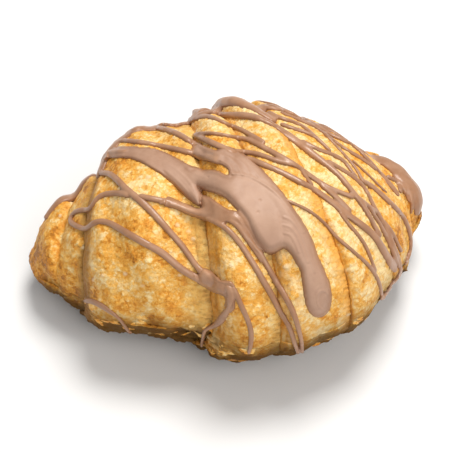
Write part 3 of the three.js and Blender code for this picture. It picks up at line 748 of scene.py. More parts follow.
# the ones that the photo shows: (length along the centre line, angle about the axis in degrees, radius)
SHOWN_FLAKES = ((-40, -3, 2.8), (-35, -9, 1.7), (-27, -12, 1.8), (-20, -11, 1.6), (-15, -6, 2.2),
                (-13, 4, 2.0), (-11.5, -13, 2.2), (-9, -4, 2.6), (-6.5, -11, 2.2), (-4, 2, 1.8),
                (-3, -15, 2.0), (3, -10, 1.6), (8, -13, 1.8), (16, -12, 2.0), (31, -10, 1.8), (45, -4, 1.6))
SCATTERED_FLAKES, FLAKE_SEED, BEHIND_EVERY = 70, 11, 3   # every third one lies at the back
SCATTER_ALONG, SCATTER_DEGREES = (-55, 60), (-20, 60, 2)   # the most of them at the last of these angles
FLAKE_THICK, FLAKE_SUNK, FLAKE_LIFTS, FLAKE_RADII = 0.18, -0.12, (0.1, 0.55), (0.6, 1.7)
FLAKE_LONGER, FLAKE_TURN = 1.3, 0.9
FLAKE_OUTLINE = ((2, 0.24), (3, 0.16), (5, 0.12), (8, 0.06))   # waves round it, and their heights
FLAKE_RINGS, FLAKE_POINTS = 6, 18
FLAKE_HUNG = 0.15                        # the share of its radius from which a flake lifts
# higher flakes are paler, partly a lighter bake and partly painted light on top; lower ones are darkened with
# painted shade
FLAKE_BAKE, FLAKE_PALER, FLAKE_PALER_HEIGHTS = 0.28, 0.20, (8, 30)
FLAKE_UNDER, FLAKE_UNDER_HEIGHTS = 0.85, (19, 4)
AXIS_HEIGHT = 26.0                       # angles about the axis are taken from a line at this height
FAR_OUTSIDE = 100.0


def grid_faces(rows, points, start):
    """Faces of a rolled grid of places, numbered from start."""
    row, point = np.meshgrid(np.arange(rows - 1), np.arange(points), indexing="ij")
    after = (point + 1) % points
    corners = (row * points + point, row * points + after, (row + 1) * points + after,
               (row + 1) * points + point)
    return (np.stack(corners, -1).reshape(-1, 4) + start).tolist()


crust_points, crust_faces = [], []
for places in crust_places:
    crust_faces += grid_faces(*places.shape[:2], len(crust_points))
    crust_points += places.reshape(-1, 3).tolist()
crust_tree = BVHTree.FromPolygons(crust_points, crust_faces)


def at_axis(along, angle, distance):
    """A place at an angle about the axis, and at a distance from it."""
    return from_centre_line(np.array((along, -distance * math.cos(angle),
                                      AXIS_HEIGHT + distance * math.sin(angle))))


def reach(along, angle):
    """The crust's place and normal at an angle about the axis, looked for from outside."""
    outside = at_axis(along, angle, FAR_OUTSIDE)
    inwards = at_axis(along, angle, 0) - outside
    hit = crust_tree.ray_cast(Vector(outside), Vector(inwards).normalized(), FAR_OUTSIDE)
    return np.array(hit[0]), np.array(hit[1])


def nearest_on_crust(place):
    """The nearest place on the crust, and its normal."""
    hit = crust_tree.find_nearest(Vector(place))
    return np.array(hit[0]), np.array(hit[1])


def join_up(pieces, name):
    """Joins pieces into the first of them."""
    select_only(pieces)
    bpy.ops.object.join()
    bpy.context.object.name = name
    return bpy.context.object


chance = random.Random(FLAKE_SEED)
flake_places = list(SHOWN_FLAKES)
for number in range(SCATTERED_FLAKES):
    flake_along = chance.uniform(*SCATTER_ALONG)
    flake_degrees = chance.triangular(*SCATTER_DEGREES)
    if number % BEHIND_EVERY == 0:
        flake_degrees = 180 - flake_degrees
    flake_places.append((flake_along, flake_degrees, chance.uniform(*FLAKE_RADII)))
flake_objects = []
for flake_along, flake_degrees, flake_radius in flake_places:
    centre, outward = reach(flake_along, math.radians(flake_degrees))
    across = unit(np.cross(outward, (0.0, 0.0, 1.0)))
    upwards = np.cross(across, outward)
    turned = chance.uniform(-FLAKE_TURN, FLAKE_TURN)
    across, upwards = (across * math.cos(turned) + upwards * math.sin(turned),
                       upwards * math.cos(turned) - across * math.sin(turned))
    lift = chance.uniform(*FLAKE_LIFTS)
    waves = [(count, size, chance.uniform(0, 2 * math.pi)) for count, size in FLAKE_OUTLINE]
    rings = []
    for ring in range(2 * FLAKE_RINGS):
        on_top = ring < FLAKE_RINGS
        share = (ring if on_top else 2 * FLAKE_RINGS - 1 - ring) / (FLAKE_RINGS - 1)
        circle = []
        for phase in np.arange(FLAKE_POINTS) / FLAKE_POINTS * 2 * math.pi:
            radius = flake_radius * share * (1 + sum(size * math.sin(count * phase + start)
                                                     for count, size, start in waves))
            foot, _ = nearest_on_crust(centre + across * radius * math.cos(phase) * FLAKE_LONGER
                                       + upwards * radius * math.sin(phase))
            raised = lift * max(0.0, FLAKE_HUNG + share * math.sin(phase)) ** 2
            circle.append(foot + outward * (raised + (FLAKE_THICK if on_top else FLAKE_SUNK)))
        rings.append(circle)
    flake_object = roll_up(np.array(rings))
    close_up(flake_object)
    flake_objects.append(flake_object)
flakes = join_up(flake_objects, "dough_flakes")
flake_heights = np.array([vertex.co.z for vertex in flakes.data.vertices]) / MM
even = np.full_like(flake_heights, 0.5)
keep_values(flakes, {"bake_and_top_light": FLAKE_BAKE + FLAKE_PALER * smooth_step(*FLAKE_PALER_HEIGHTS, flake_heights),
                     "patch": even, "scale": even,
                     "browned_and_shaded_underside": FLAKE_UNDER * smooth_step(*FLAKE_UNDER_HEIGHTS, flake_heights)})
bpy.ops.object.shade_smooth()
dress(flakes, crust)

# ------------------------------------------------------------------ chocolate
# Melted milk chocolate was swung over the croissant in strands from the left, and one thick
# pour ran down the front in a broad lobe and a finger. It has set with rounded edges, and
# strands that cross have run into each other.

# The pour and the broad parts of the strands are drawn by their outlines in the photo
# (across, down); the pour's from its neck down the right side
POUR_RIGHT = ((222, 149), (230, 148.5), (238, 152), (245, 156.5), (252, 161.5), (258.5, 167), (265, 173.5),
              (271.5, 180.5), (277, 187), (283, 194), (289.5, 203), (296, 213), (302.5, 223), (308, 232),
              (312.5, 243), (316, 254), (320.5, 264), (325, 274), (328.5, 283), (330.3, 292), (330.5, 300.5))
POUR_LEFT = ((328.5, 309), (323, 315), (317, 316), (311.5, 313), (307, 306), (305, 297), (303.5, 287),
             (302, 278.5), (300.5, 270.5), (296, 263), (291.5, 255.5), (287, 250), (283.5, 248),
             (280.5, 249.5), (276, 252), (270.5, 253), (265, 251.5), (260, 246), (254, 237), (249, 227),
             (245, 218.5), (239.5, 211.5), (234, 206), (229, 200.5), (224, 196.5), (218, 193.5),
             (207, 189.5), (198, 186), (194, 181), (190, 172), (196, 168.5), (203, 171.5), (210.5, 171),
             (218, 172), (225, 175), (229, 175), (229, 170.5), (226, 166.5), (218, 163), (207, 159.5),
             (198, 157.5), (192, 153), (196, 146), (206, 149), (214, 152))
BAND = ((109, 151), (115, 149), (122, 148.2), (131, 148.2), (142, 148.8), (155, 150.4),
        (168, 155), (180, 161), (190, 166.5), (200, 170.3), (206, 178), (200, 186.5), (197, 186),
        (198.5, 190), (200.5, 195), (200.3, 201), (199, 205.5), (195, 203.5), (190, 199.8), (180, 190),
        (170, 180), (160, 172), (150, 166), (140, 160.3), (130, 157.2), (121, 156.3), (113, 156.3),
        (109, 156))
CROSS_FOOT = ((201.5, 196), (209.4, 198.5), (218, 204), (224, 208), (229, 210.3), (235, 211), (240, 214),
              (243.5, 219.5), (247, 228), (251.5, 237), (257, 245.5), (262, 251.5), (263.5, 257),
              (258.5, 254.5), (252, 246), (246.5, 237), (242, 229), (238.5, 224.8), (234, 222.5), (224, 222),
              (216, 221.3), (207, 219.6), (196, 217), (185, 212.8), (176, 208.7), (168, 206.2), (168, 198),
              (172, 198.8), (180, 202), (190, 206), (198, 208.5), (202, 207.5), (201.5, 203))
KNOT = ((203, 268.5), (208, 271), (215, 277), (220, 281), (226, 281.6), (231, 282), (234.5, 285),
        (235.2, 292), (234.8, 300), (234, 308), (230.5, 311), (227.5, 310), (226.3, 304), (226.3, 298),
        (224, 295), (220, 292.7), (214, 290.8), (205, 286.5), (200, 284), (198, 276))
SHEETS = {
    "pour": {"outlines": (POUR_RIGHT + POUR_LEFT, BAND), "thick": 2.9, "rounding": 2.8, "crown": 0.7},
    "cross_foot": {"outlines": (CROSS_FOOT,), "thick": 2.2, "rounding": 1.9, "crown": 0.2},
    "knot": {"outlines": (KNOT,), "thick": 2.3, "rounding": 2.0, "crown": 0.2},
}
SHEET_GRID = 1.1                         # spacing of a sheet's points, in pixels
SHEET_MARGIN, SHEET_DIVE = 1.0, 4        # how far it goes on, sunk in the crust, and how steeply
SHEET_BEYOND = 4                         # in pixels: the grid goes on past that
SHEET_BODY, LAID_FROM = 2.2, -0.2        # strands lie on a sheet as far as this from its edge
OUTLINE_SPACING, OUTLINE_PART = 0.6, 60   # of an outline's points, in pixels; so many at a time
CROWN_LENGTH, NEAR_FLOOR_EVEN, NEAR_STEPS = 4, 2.0, 3
SHEET_FLOOR_SPREAD, SHEET_CLEAR = 4.5, 0.4   # the crust under it is evened out, and stays under it
BAND_THICK, BAND_TO_POUR = 2.2, (188, 212)   # the band is thinner than the pour that it runs into
LOBE_SIDE = ((262, 188), (271, 200), (278, 211), (281.5, 224), (282.5, 237), (281.5, 250))
LOBE_RISE, LOBE_ROUND, LOBE_EDGE, LOBE_FROM = 0.8, 5.0, 3, (184, 226)
FLOW_LINE_WIDTH, FLOW_GROOVE_AT, FLOW_GROOVE_SHARE, FLOW_SPACING = 0.42, 0.9, 0.5, 2.0
POURED_WITHIN, MARKS_FROM_EDGE = (0.7, 0.3), (0.2, 1.0)
# ridges that the flow has left: each line's height, and then its places
FLOW_LINES = (
    (0.26, ((229, 173.5), (240, 174), (250, 176.5), (260, 181.5), (270, 188), (280, 196.5), (289, 207),
            (297, 219), (304, 232))),
    (0.15, ((200, 155), (212, 157.5), (222, 161), (230, 166.5), (233, 174))),
    (0.15, ((214, 153), (226, 156), (235, 162), (240, 170), (243, 175))),
    (0.15, ((226, 152), (237, 157), (245, 165), (250, 175))),
    (0.12, ((236, 154), (247, 161), (255, 170), (260, 179))),
    (0.15, ((284, 217), (291, 220), (298, 228), (304, 240), (309, 255), (315, 272))),
    (0.12, ((283, 225), (290, 227), (297, 235), (302, 247), (308, 262))),
    (0.11, ((284, 233), (290, 235), (295, 242), (299, 252))),
    (0.09, ((118, 151), (140, 152.5), (158, 158), (174, 167.5), (187, 179), (195, 190))),
    (0.09, ((136, 157), (152, 162.5), (166, 171), (178, 181), (188, 192))),
    (0.09, ((168, 158.5), (182, 165.5), (194, 173), (204, 177))),
)
DRIP_DISC = {"place": (323.6, 300.3), "half": (6.2, 9.8), "lean": math.radians(8),
             "rim": 0.12, "rim_width": 0.10, "sunk": 0.30, "sunk_from": (0.98, 0.78),
             "ripple": 0.09, "ripple_length": 0.38, "ripples_start": (1, 1.2), "ripples_end": (2.1, 1.3),
             "ripples_left_of": (0, -3)}
PITS, PIT_DEPTH, PIT_RADIUS = ((208, 177), (260, 200), (258, 212)), 0.3, 0.4

# A strand runs first over the unseen back, through (length along the centre line, angle about
# the axis in degrees), and then through places in the photo: (across, down, width in mm).
STRANDS = {
    "chocolate_pour": {
        "left_crest": {"thick": 2.0, "over": ((-36, 160), (-38, 148), (-39, 136)), "seen": (
            (125, 135, 2.8), (133, 131.3, 3), (142, 128.8, 3), (152, 128, 2.9), (162, 129.2, 2.9),
            (171, 131.7, 3), (180, 135.7, 3.1), (188, 140.5, 3.1), (196, 146, 3.2), (205, 151, 3.4),
            (216, 156, 3.6), (226, 162, 3.4))},
        "left_rim": {"thick": 1.8, "broad": True, "seen": (
            (99, 177, 2.4), (100, 170, 2.8), (101.8, 162, 3.2), (105, 156, 3.6), (109.5, 150.5, 3.8),
            (115.5, 144.5, 3.2), (121, 139.5, 3.2), (127.5, 134, 3.4), (134.5, 129.5, 3.4), (142.5, 127, 3.4),
            (152, 126, 3.4), (162, 125.3, 3.2), (172, 123.7, 2.8), (182, 121.5, 2.4), (188, 119.5, 2.2))},
        "left_high_band": {"thick": 1.8, "over": ((-43, 158), (-43, 146), (-43, 134)), "seen": (
            (122, 141, 2.4), (129, 141.5, 2.6), (137, 142.3, 2.7), (146, 143.7, 2.6), (157, 145.8, 2.6),
            (168, 148, 2.6), (180, 150.5, 2.6), (191, 153, 2.7), (202, 155, 3), (212, 158, 3.2),
            (222, 162, 3.2))},
        "left_band": {"thick": 2.1, "over": ((-46.5, 150), (-47, 138)), "seen": (
            (100, 163, 2.6), (102, 158, 2.8), (106, 154.5, 2.8), (113, 152.6, 2.8), (121, 152.2, 2.8),
            (131, 152.8, 2.6))},
        "cross": {"thick": 2.1, "seen": (
            (138, 196.5, 2.5), (146, 198, 2.6), (155, 199.6, 2.6), (165, 201.7, 2.6), (175, 204.3, 2.6),
            (184, 208, 2.6))},
        "cross_run": {"thick": 2.0, "seen": (
            (256, 246.5, 1.9), (261, 254.5, 2.2), (265.5, 263.5, 2.3), (270.8, 273, 2.5), (276.6, 282, 2.6),
            (282.7, 291.4, 2.7), (287.7, 300.5, 2.6), (292.3, 309.5, 2.4), (295.7, 318.6, 2.2),
            (298.2, 327.7, 2), (300.5, 336.8, 1.8), (301.6, 346, 1.6), (302, 351.5, 1.3))},
        "cross_inner": {"thick": 1.5, "seen": ((226, 219, 1.9), (234, 222, 2.2), (240.5, 229, 2.3),
                        (246, 237.5, 2.3), (252, 246, 2.2), (258, 255, 2), (263, 263, 1.8))},
        "cross_valley": {"thick": 1.3, "seen": ((238, 211, 1.8), (244.5, 218.5, 2), (249, 227, 2),
                         (253.5, 236, 2), (259, 244.5, 2), (266, 251, 2))},
        "cross_low": {"thick": 1.9, "seen": (
            (206, 217.5, 2), (215, 221.5, 2.3), (224, 226.5, 2.4), (231.3, 233, 2.4), (239, 242, 2.4),
            (246, 252.5, 2.5), (252.7, 263, 2.5), (258.6, 273, 2.6), (264, 282, 2.6), (269.6, 291.4, 2.6),
            (274.3, 300.5, 2.5), (279, 309.5, 2.5), (285.5, 318.6, 2.4), (290.3, 327.7, 2.3),
            (293.2, 336.8, 2), (295.7, 346, 1.7), (298.3, 354, 1.4))},
    },
    "chocolate_left": {
        "tip_band": {"thick": 1.9, "broad": True, "seen": (
            (96, 176, 3), (92.5, 179, 4.2), (87, 182.5, 3.2), (79, 187, 2.8), (70.5, 192.5, 2.7),
            (63, 198.5, 2.6), (55.5, 205.5, 2.4), (49.5, 213, 2), (45.5, 220, 1.6))},
        "collar": {"thick": 1.9, "over": ((-48, 156), (-48, 143), (-47.5, 131)), "seen": (
            (101, 174, 2.7), (107, 173.3, 2.7), (113, 176, 2.8), (119, 181.5, 2.9), (125, 188, 2.9),
            (132, 194, 3), (140, 200.5, 3.1), (147, 207, 3.1), (154, 214, 3), (161, 222, 2.9),
            (169, 231, 2.7), (177, 240, 2.7), (184.5, 249, 2.7), (191, 258.5, 2.6), (197, 267, 2.6),
            (203, 273, 2.8), (211, 279, 3.2), (220, 285, 3.4), (228, 288, 3.2))},
        "tip_loop": {"thick": 1.8, "seen": (
            (131, 196, 2.6), (124, 194, 2.6), (117, 193.3, 2.6), (110, 193.7, 2.6), (103, 195, 2.6),
            (97.5, 198.3, 2.6), (94.5, 203, 2.5), (92, 208, 2.3), (87, 210.3, 2.4), (81, 210.3, 2.4),
            (75.5, 212.3, 2.5), (71.3, 216.5, 2.6), (70.5, 221, 2.6), (74, 224.8, 2.5), (80, 227.5, 2.4),
            (85.5, 229, 2.4), (89.5, 227, 2.4), (93, 223.5, 2.5), (98, 221.3, 2.5), (104, 221.3, 2.6),
            (111, 223.5, 2.7), (120, 228.8, 2.9), (130, 234.8, 3), (140, 240.5, 3), (150, 246, 3),
            (160, 251.3, 3.1), (168, 257.5, 3.1), (176, 265, 3.1), (186, 272, 3.1), (196, 277.5, 3.1),
            (205, 282, 3.2), (213, 286, 3.2), (221, 289, 3.2), (228, 290, 3))},
        "low_hook": {"thick": 1.9, "seen": (
            (226, 285, 3), (231, 289, 3.2), (231, 298, 2.9), (230, 307, 2), (225.5, 313.5, 3),
            (220, 321, 3.2), (213, 326.3, 2), (205.5, 327.5, 1.7), (203.5, 334, 1.6), (203, 341, 1.5),
            (202, 346, 1.2))},
        "drip": {"thick": 1.5, "seen": ((232, 286, 2.4), (236.5, 294, 2.3), (239.5, 302, 2.2),
                 (243.6, 310.5, 2.2), (247.3, 318.6, 2.1), (250, 326, 2.1), (251.4, 333, 2.1),
                 (251.4, 340, 2), (250, 347.7, 1.7), (248.6, 353, 1.3))},
        "low_left": {"thick": 1.2, "seen": (
            (85, 300.5, 1.8), (91, 300.8, 2.4), (97.5, 303, 2.8), (104, 307, 2.8), (111, 311.8, 2.3),
            (117, 315.5, 1.5), (121, 320, 1.3), (126, 327, 1.5), (130.8, 334, 1.4))},
    },
    "chocolate_drizzle": {
        "crest_long": {"thick": 2.1, "seen": (
            (158, 126.8, 2.4), (168, 124.4, 2.2), (178, 123.3, 2), (188, 121.5, 2.2), (195, 118, 3),
            (203, 114.5, 3.2), (212, 113.5, 3), (222, 115, 2.9), (232, 115.3, 3), (242, 115.6, 3.2),
            (252, 117, 3.3), (260, 119.5, 3.3), (268, 123, 3.4), (276, 127.5, 3.4), (284, 133, 3.4),
            (292, 138.5, 3.4), (300, 144.5, 3.4), (308, 150.5, 3.2), (316, 157, 3), (324, 163, 2.9),
            (332, 169.5, 2.8), (339, 176, 2.7), (345.5, 183.5, 2.6), (351, 191, 2.6), (356, 197, 2.7),
            (361, 203.5, 2.7), (366, 211.5, 2.6), (370.5, 220, 2.5), (374.5, 228, 2.5), (380, 237, 2.7))},
        "crest_rim": {"thick": 2.6, "broad": True, "over": ((-6, 150), (-5, 138), (-3, 130)), "seen": (
            (187, 118.7, 2.2), (193, 114.5, 3), (199, 111.5, 3.2), (206, 109, 3.2), (213, 105.3, 3),
            (220, 102, 2.6), (228, 100.8, 2.4), (237, 100.8, 2.4), (246, 101.8, 2.4), (254, 104.3, 2.4),
            (261, 107, 2.4), (268, 109.5, 2))},
        "crest_cap": {"thick": 3.0, "broad": True, "over": ((6, 160), (5, 148), (5, 137)), "seen": (
            (213, 106.5, 2), (220, 105, 2.4), (228, 104.5, 2.6), (237, 106, 3.6), (246, 108, 4),
            (254, 110.5, 3.6), (262, 114, 3.2), (269, 118, 2.8), (276, 123, 2.2))},
        "crest_band": {"thick": 1.7, "seen": (
            (188, 121.5, 3), (196, 118.5, 3.2), (205, 117, 3), (213, 118.3, 2.6), (220, 121.5, 2.2),
            (228, 125.3, 2.1), (236, 128, 2.1), (244, 131.5, 2.1), (252, 135.8, 2.1), (259, 139.7, 2.2),
            (265, 144, 2.2))},
        "centre_thin": {"thick": 1.7, "seen": (
            (194, 135.5, 2.2), (200, 134, 2), (208, 133.8, 1.8), (217, 134.3, 1.8), (226, 136.5, 1.8),
            (236, 138, 1.9), (245, 138.8, 2), (253, 142, 2.2), (262, 147, 2.5), (271, 151.7, 2.5),
            (280, 156.7, 2.5), (289, 161.7, 2.6), (298, 167.5, 2.6), (307, 174.3, 2.6), (316, 180.5, 2.5),
            (323, 185, 2.3), (330, 188.7, 2.1), (338, 191.5, 2), (346, 195, 2.1), (354, 197.5, 2.2))},
        "centre_fold": {"thick": 1.9, "seen": (
            (195, 135.5, 2), (203, 138.8, 2.4), (211, 142.5, 2.6), (219, 146.5, 3), (228, 150.5, 3.2),
            (237, 155, 3.4))},
        "centre_low": {"thick": 1.6, "seen": ((234, 151.5, 2.4), (242, 152, 2.1), (250, 152.7, 2.1),
                       (258, 154.3, 2.2), (267, 157.5, 2.2), (276, 160.8, 2.2), (285, 163.3, 2.2),
                       (293, 164.5, 2.2))},
        "right_long": {"thick": 1.8, "seen": (
            (244, 158, 2.4), (253, 160.5, 2.5), (262, 164, 2.6), (271, 168, 2.6), (280, 172, 2.7),
            (289, 176.3, 2.7), (298, 181, 2.7), (307, 186, 2.7), (316, 191.3, 2.7), (325, 197.5, 2.8),
            (334, 204.5, 2.9), (342, 211.5, 3), (350, 217, 3), (358, 222.5, 3), (366, 228.5, 3),
            (373, 235, 3.1), (378.5, 242.5, 3.3), (383, 250.5, 3.7), (387.5, 258, 4), (391.5, 264.5, 3.8),
            (396, 271, 2.8))},
        "right_pair": {"thick": 1.5, "seen": ((319, 183, 2), (326, 189.5, 2.2), (333, 195, 2.3),
                       (340, 201, 2.3), (346, 207, 2.2), (351, 213, 2.2))},
        "right_link": {"thick": 1.4, "seen": ((299, 168, 1.8), (304, 175, 1.9), (308, 181, 1.9),
                       (313, 187, 1.9))},
        "right_thin": {"thick": 1.1, "seen": (
            (284, 199.5, 1.3), (292, 203, 1.4), (299, 206, 1.4), (307, 209.7, 1.4), (314.5, 214.8, 1.4),
            (322, 221.3, 1.4), (329, 228, 1.4), (334, 234.5, 1.5), (340, 240.5, 1.6), (349, 248, 1.6),
            (357.8, 255.8, 1.7), (365.5, 262.5, 1.8), (371, 269, 1.8), (375, 275, 1.9), (378.5, 282, 2),
            (380.5, 290, 2), (381.5, 298, 1.7))},
        "right_thin_branch": {"thick": 1.2, "seen": (
            (339, 212, 1.6), (347, 222.5, 1.7), (354, 230.8, 1.8), (361, 239.3, 1.8), (366.3, 248, 1.8),
            (369.3, 256, 1.8), (372.3, 264.5, 1.8), (375.5, 272, 1.8))},
        "crest_upper": {"thick": 1.5, "seen": (
            (301, 141, 2), (311, 146.5, 2.1), (320, 150.7, 2.2), (330, 154.3, 2.2), (339, 158, 2.2),
            (345, 162.5, 2.1), (348.5, 168, 1.9), (352, 173.5, 1.9), (357, 179, 2))},
        "crest_branch": {"thick": 1.7, "seen": (
            (326, 161, 2.2), (333, 165, 2.3), (340, 169, 2.4), (347, 173.3, 2.5), (355, 179, 2.5),
            (361, 184.8, 2.5), (365.5, 191, 2.5), (369, 198, 2.5), (372.3, 205, 2.5), (376.5, 212.5, 2.7),
            (381.5, 221.5, 2.7), (386.7, 231.5, 2.7), (391, 241, 2.6), (394.5, 250, 2.6), (397.8, 259, 2.6),
            (399.5, 267, 2.6), (400, 275, 2.6), (400, 284, 2.7), (398.5, 292, 2.6), (394, 299, 2.4),
            (388, 304, 2))},
        "bundle_inner": {"thick": 1.6, "seen": (
            (368, 207, 2), (372.5, 214, 2.2), (378, 222.5, 2.3), (383, 231.5, 2.3), (387.5, 240.5, 2.3),
            (391, 249, 2.3), (395, 258.5, 2.2), (398, 267.5, 2.1))},
        "bundle_outer": {"thick": 1.4, "seen": ((382, 220, 1.8), (389, 228.5, 2), (394, 237, 2),
                         (397.5, 245.5, 1.9), (401, 251.5, 1.7))},
        "bundle_high": {"thick": 1.5, "seen": ((354, 195, 2.1), (362, 201.5, 2.1), (369, 207, 2.1),
                        (376, 212.5, 2.1))},
        "right_outer": {"thick": 1.8, "seen": (
            (360, 180.5, 2.2), (369, 184.7, 2.6), (377, 191.3, 2.7), (384.5, 198, 2.7), (391.5, 205, 2.8),
            (399, 212.5, 2.8), (404.5, 220.5, 2.8), (408, 229, 2.7), (410, 238, 2.5), (410, 247, 2.3),
            (408, 256, 2.1), (404.5, 263.5, 1.9))},
        "ridge_rim": {"thick": 1.3, "broad": True, "seen": (
            (262, 107, 2), (272, 108.8, 2.2), (282, 110.5, 2.2), (292, 113.6, 2.2), (302, 118, 2.4),
            (312, 122.5, 2.6), (321, 126.5, 2.6), (330, 131, 2.6), (340, 136.5, 2.4), (350, 142, 2))},
        "ridge_back": {"thick": 1.5, "broad": True, "over": ((24, 158), (26, 146), (29, 135)), "seen": (
            (332, 129.5, 1.8), (341, 135.5, 2.1), (350, 141, 2.4), (359, 146.3, 2.7), (368, 151.3, 2.8),
            (377, 156, 2.9), (386, 161, 3.2), (394, 167, 3.8), (401.5, 174.5, 4.8), (408.5, 183, 5),
            (414, 192, 5), (418.5, 201, 4.6), (419.5, 208, 3.8), (417.5, 214.5, 2.6))},
        "tip_fill": {"thick": 1.3, "seen": (
            (393, 173.5, 3), (399.5, 179, 3.8), (405.5, 186.5, 4), (409.5, 194.5, 3.6), (411, 203, 3))},
        "ridge_top": {"thick": 1.7, "over": ((14, 152), (15, 140), (17, 130)), "seen": (
            (264, 108, 2.4), (273, 109, 2.4), (282, 111, 2.3), (292, 114.3, 2.3), (302, 118.7, 2.3),
            (312, 123.7, 2.3), (322, 130.5, 2.2), (331, 135.7, 2.1), (340, 139.5, 2.1), (349, 143.7, 2.1),
            (356, 148.5, 2.1), (361, 153.5, 2.1), (366, 158.5, 2.3), (371, 163.5, 2.5), (376, 169.5, 2.7),
            (382, 176, 2.9), (388, 183, 3), (394, 190, 2.9), (398.5, 196.5, 2.3))},
        "ridge_high": {"thick": 1.5, "seen": (
            (268, 112.5, 2.2), (276, 116.7, 2.2), (285, 120, 2.2), (294, 122.7, 2.2), (302, 126.5, 2.2),
            (308, 131, 2.1), (314, 136.5, 2), (320, 142, 2), (326, 147.5, 2), (331, 152.5, 2))},
        "ridge_mid": {"thick": 1.5, "seen": ((280, 124, 2.2), (289, 127.8, 2.3), (297, 130, 2.3),
                      (305, 132.7, 2.2), (312, 135.7, 2.1), (318, 140, 2))},
        "ridge_fine": {"thick": 1.2, "seen": (
            (280, 112.5, 1.6), (290, 116.7, 1.6), (300, 120.7, 1.6), (310, 125.3, 1.6), (319, 130.5, 1.6),
            (326, 136, 1.7), (332, 142.5, 1.7), (338, 149, 1.8), (344, 155.5, 1.9), (350, 162, 2),
            (355.5, 169, 2), (360, 177, 2), (363, 183, 2.1))},
        "ridge_side": {"thick": 1.3, "seen": (
            (322, 132, 1.7), (328, 137, 1.7), (334.5, 141.7, 1.8), (341.5, 147, 1.9), (349, 151.8, 1.9),
            (356, 155.7, 2), (363, 160, 2), (370, 165.3, 2.2), (376, 170.5, 2.3))},
        "ridge_hair": {"thick": 0.9, "seen": ((352, 160.5, 1.1), (359, 167, 1.1), (366, 173, 1.1),
                       (373, 180, 1.1), (380, 187, 1.1), (387, 193.5, 1.1))},
        "tip_hook": {"thick": 1.6, "seen": ((386, 176, 2), (393, 180, 2.2), (400, 183.5, 2.5),
                     (404.5, 189, 2.5), (406, 194.5, 2.1))},
        "tip_hook_short": {"thick": 1.5, "seen": ((396, 181, 2.2), (399.5, 187, 2.4), (400.5, 193.5, 2))},
        "tip_streak": {"thick": 1.1, "seen": ((408, 190, 1.6), (411.5, 198, 1.6), (412, 206, 1.5),
                       (410.5, 214, 1.2))},
    },
}
RING_SPACING = 0.6
SEEN_SPACING = 1.2                       # in pixels
SPLINE_FINER, SPLINE_LEAST = 3, 1e-3     # a curve is worked out this much finer than it is kept
BELL_REACH = 2.5                         # how many spreads an evening out takes in
OUTLINE_SEARCH = 16                      # in pixels: how far inside a place the crust is looked for
SECTION_POINTS = 16
SINK, CORD_UNDER = 0.3, 0.35             # how deep a strand lies in the crust, and how full it is below
SPAN, BROAD_SPAN = 1.7, 4.0              # length over which a strand evens out the crust's steps
BROAD_SPREAD = 16.0                      # in pixels: evens out the crust's steps along its outline
OUTWARD_EVEN, DEPTH_EVEN, LIFT_EVEN, SLENDER_EVEN, RINGS_EVEN = 5.0, 1.3, 0.8, 4.0, 2.0   # in rings
BROAD_END = (0.6, 3.0)                   # its rings are evened out only this far from its ends
RIDE_OVER, RIDE_SPREAD, RIDE_START = 0.42, 1.8, 3.0   # how far a strand climbs over one under it
RIDE_WITHIN = 4.5
WIDE_FROM, WIDE_BEFORE, WIDE_AFTER = 3.3, 0.6, 0.8   # a wider strand's sides follow the crust
FOLLOW_SIDES, FOLLOW_MOST, FOLLOW_EVEN = 5, 1.2, 2.5
UNSEEN_WIDE = 2.8                        # width over the unseen back
ARC_RADIUS = 40.0
CHOCOLATE_VOXEL = 0.30
CHOCOLATE_TRIANGLES = 180000             # no more than these in each piece
SETTLING = {"factor": 0.5, "iterations": 2}
ROUNDNESS = 1.12                         # how much higher than its thickness a cord stands
ROUND_TOP, FLAT_FROM, FLAT_GROWTH = 2.0, 3.5, 0.15   # wider strands are flatter on top
END_LEAST, END_FALL = 0.02, 0.7          # how a strand rounds off and sinks to its ends
SLENDER, SLENDER_UP_TO = 0.82, 3.0       # its light rims make a thin cord look wider than it is
LEAN_FROM, LEAST_FACING = (0.1, 0.5), 0.5


def sight_through(across, down):
    """The direction of sight through a place in the photo."""
    sight = (-sight_away * SIGHT_DISTANCE + sight_right * (across - TARGET_SEEN[0]) / PIXELS_PER_MM
             + sight_up * (TARGET_SEEN[1] - down) / PIXELS_PER_MM)
    return sight / np.linalg.norm(sight)


def look(tree, sight):
    """Distance from the eye to a surface, and the surface's normal."""
    hit = tree.ray_cast(Vector(sight_eye), Vector(sight))
    return (None, None) if hit[0] is None else (hit[3], np.array(hit[1]))


def seen_place(across, down):
    """The place on the crust that a place in the photo shows, or the nearest inside its outline."""
    inwards = np.array((TARGET_SEEN[0] - across, TARGET_SEEN[1] - down))
    inwards /= np.linalg.norm(inwards)
    for step in range(OUTLINE_SEARCH):
        sight = sight_through(across + inwards[0] * step, down + inwards[1] * step)
        distance, normal = look(crust_tree, sight)
        if distance is not None:
            return sight_eye + sight * distance, normal
    return None, None


def to_axis(place):
    """Length along the centre line, and angle about the axis."""
    bend = BEND_LEFT if place[0] < 0 else BEND_RIGHT
    inward = 1 / bend - place[1]
    back = 1 / bend - math.hypot(place[0], inward)
    return math.atan2(place[0], inward) / bend, math.atan2(place[2] - AXIS_HEIGHT, -back)


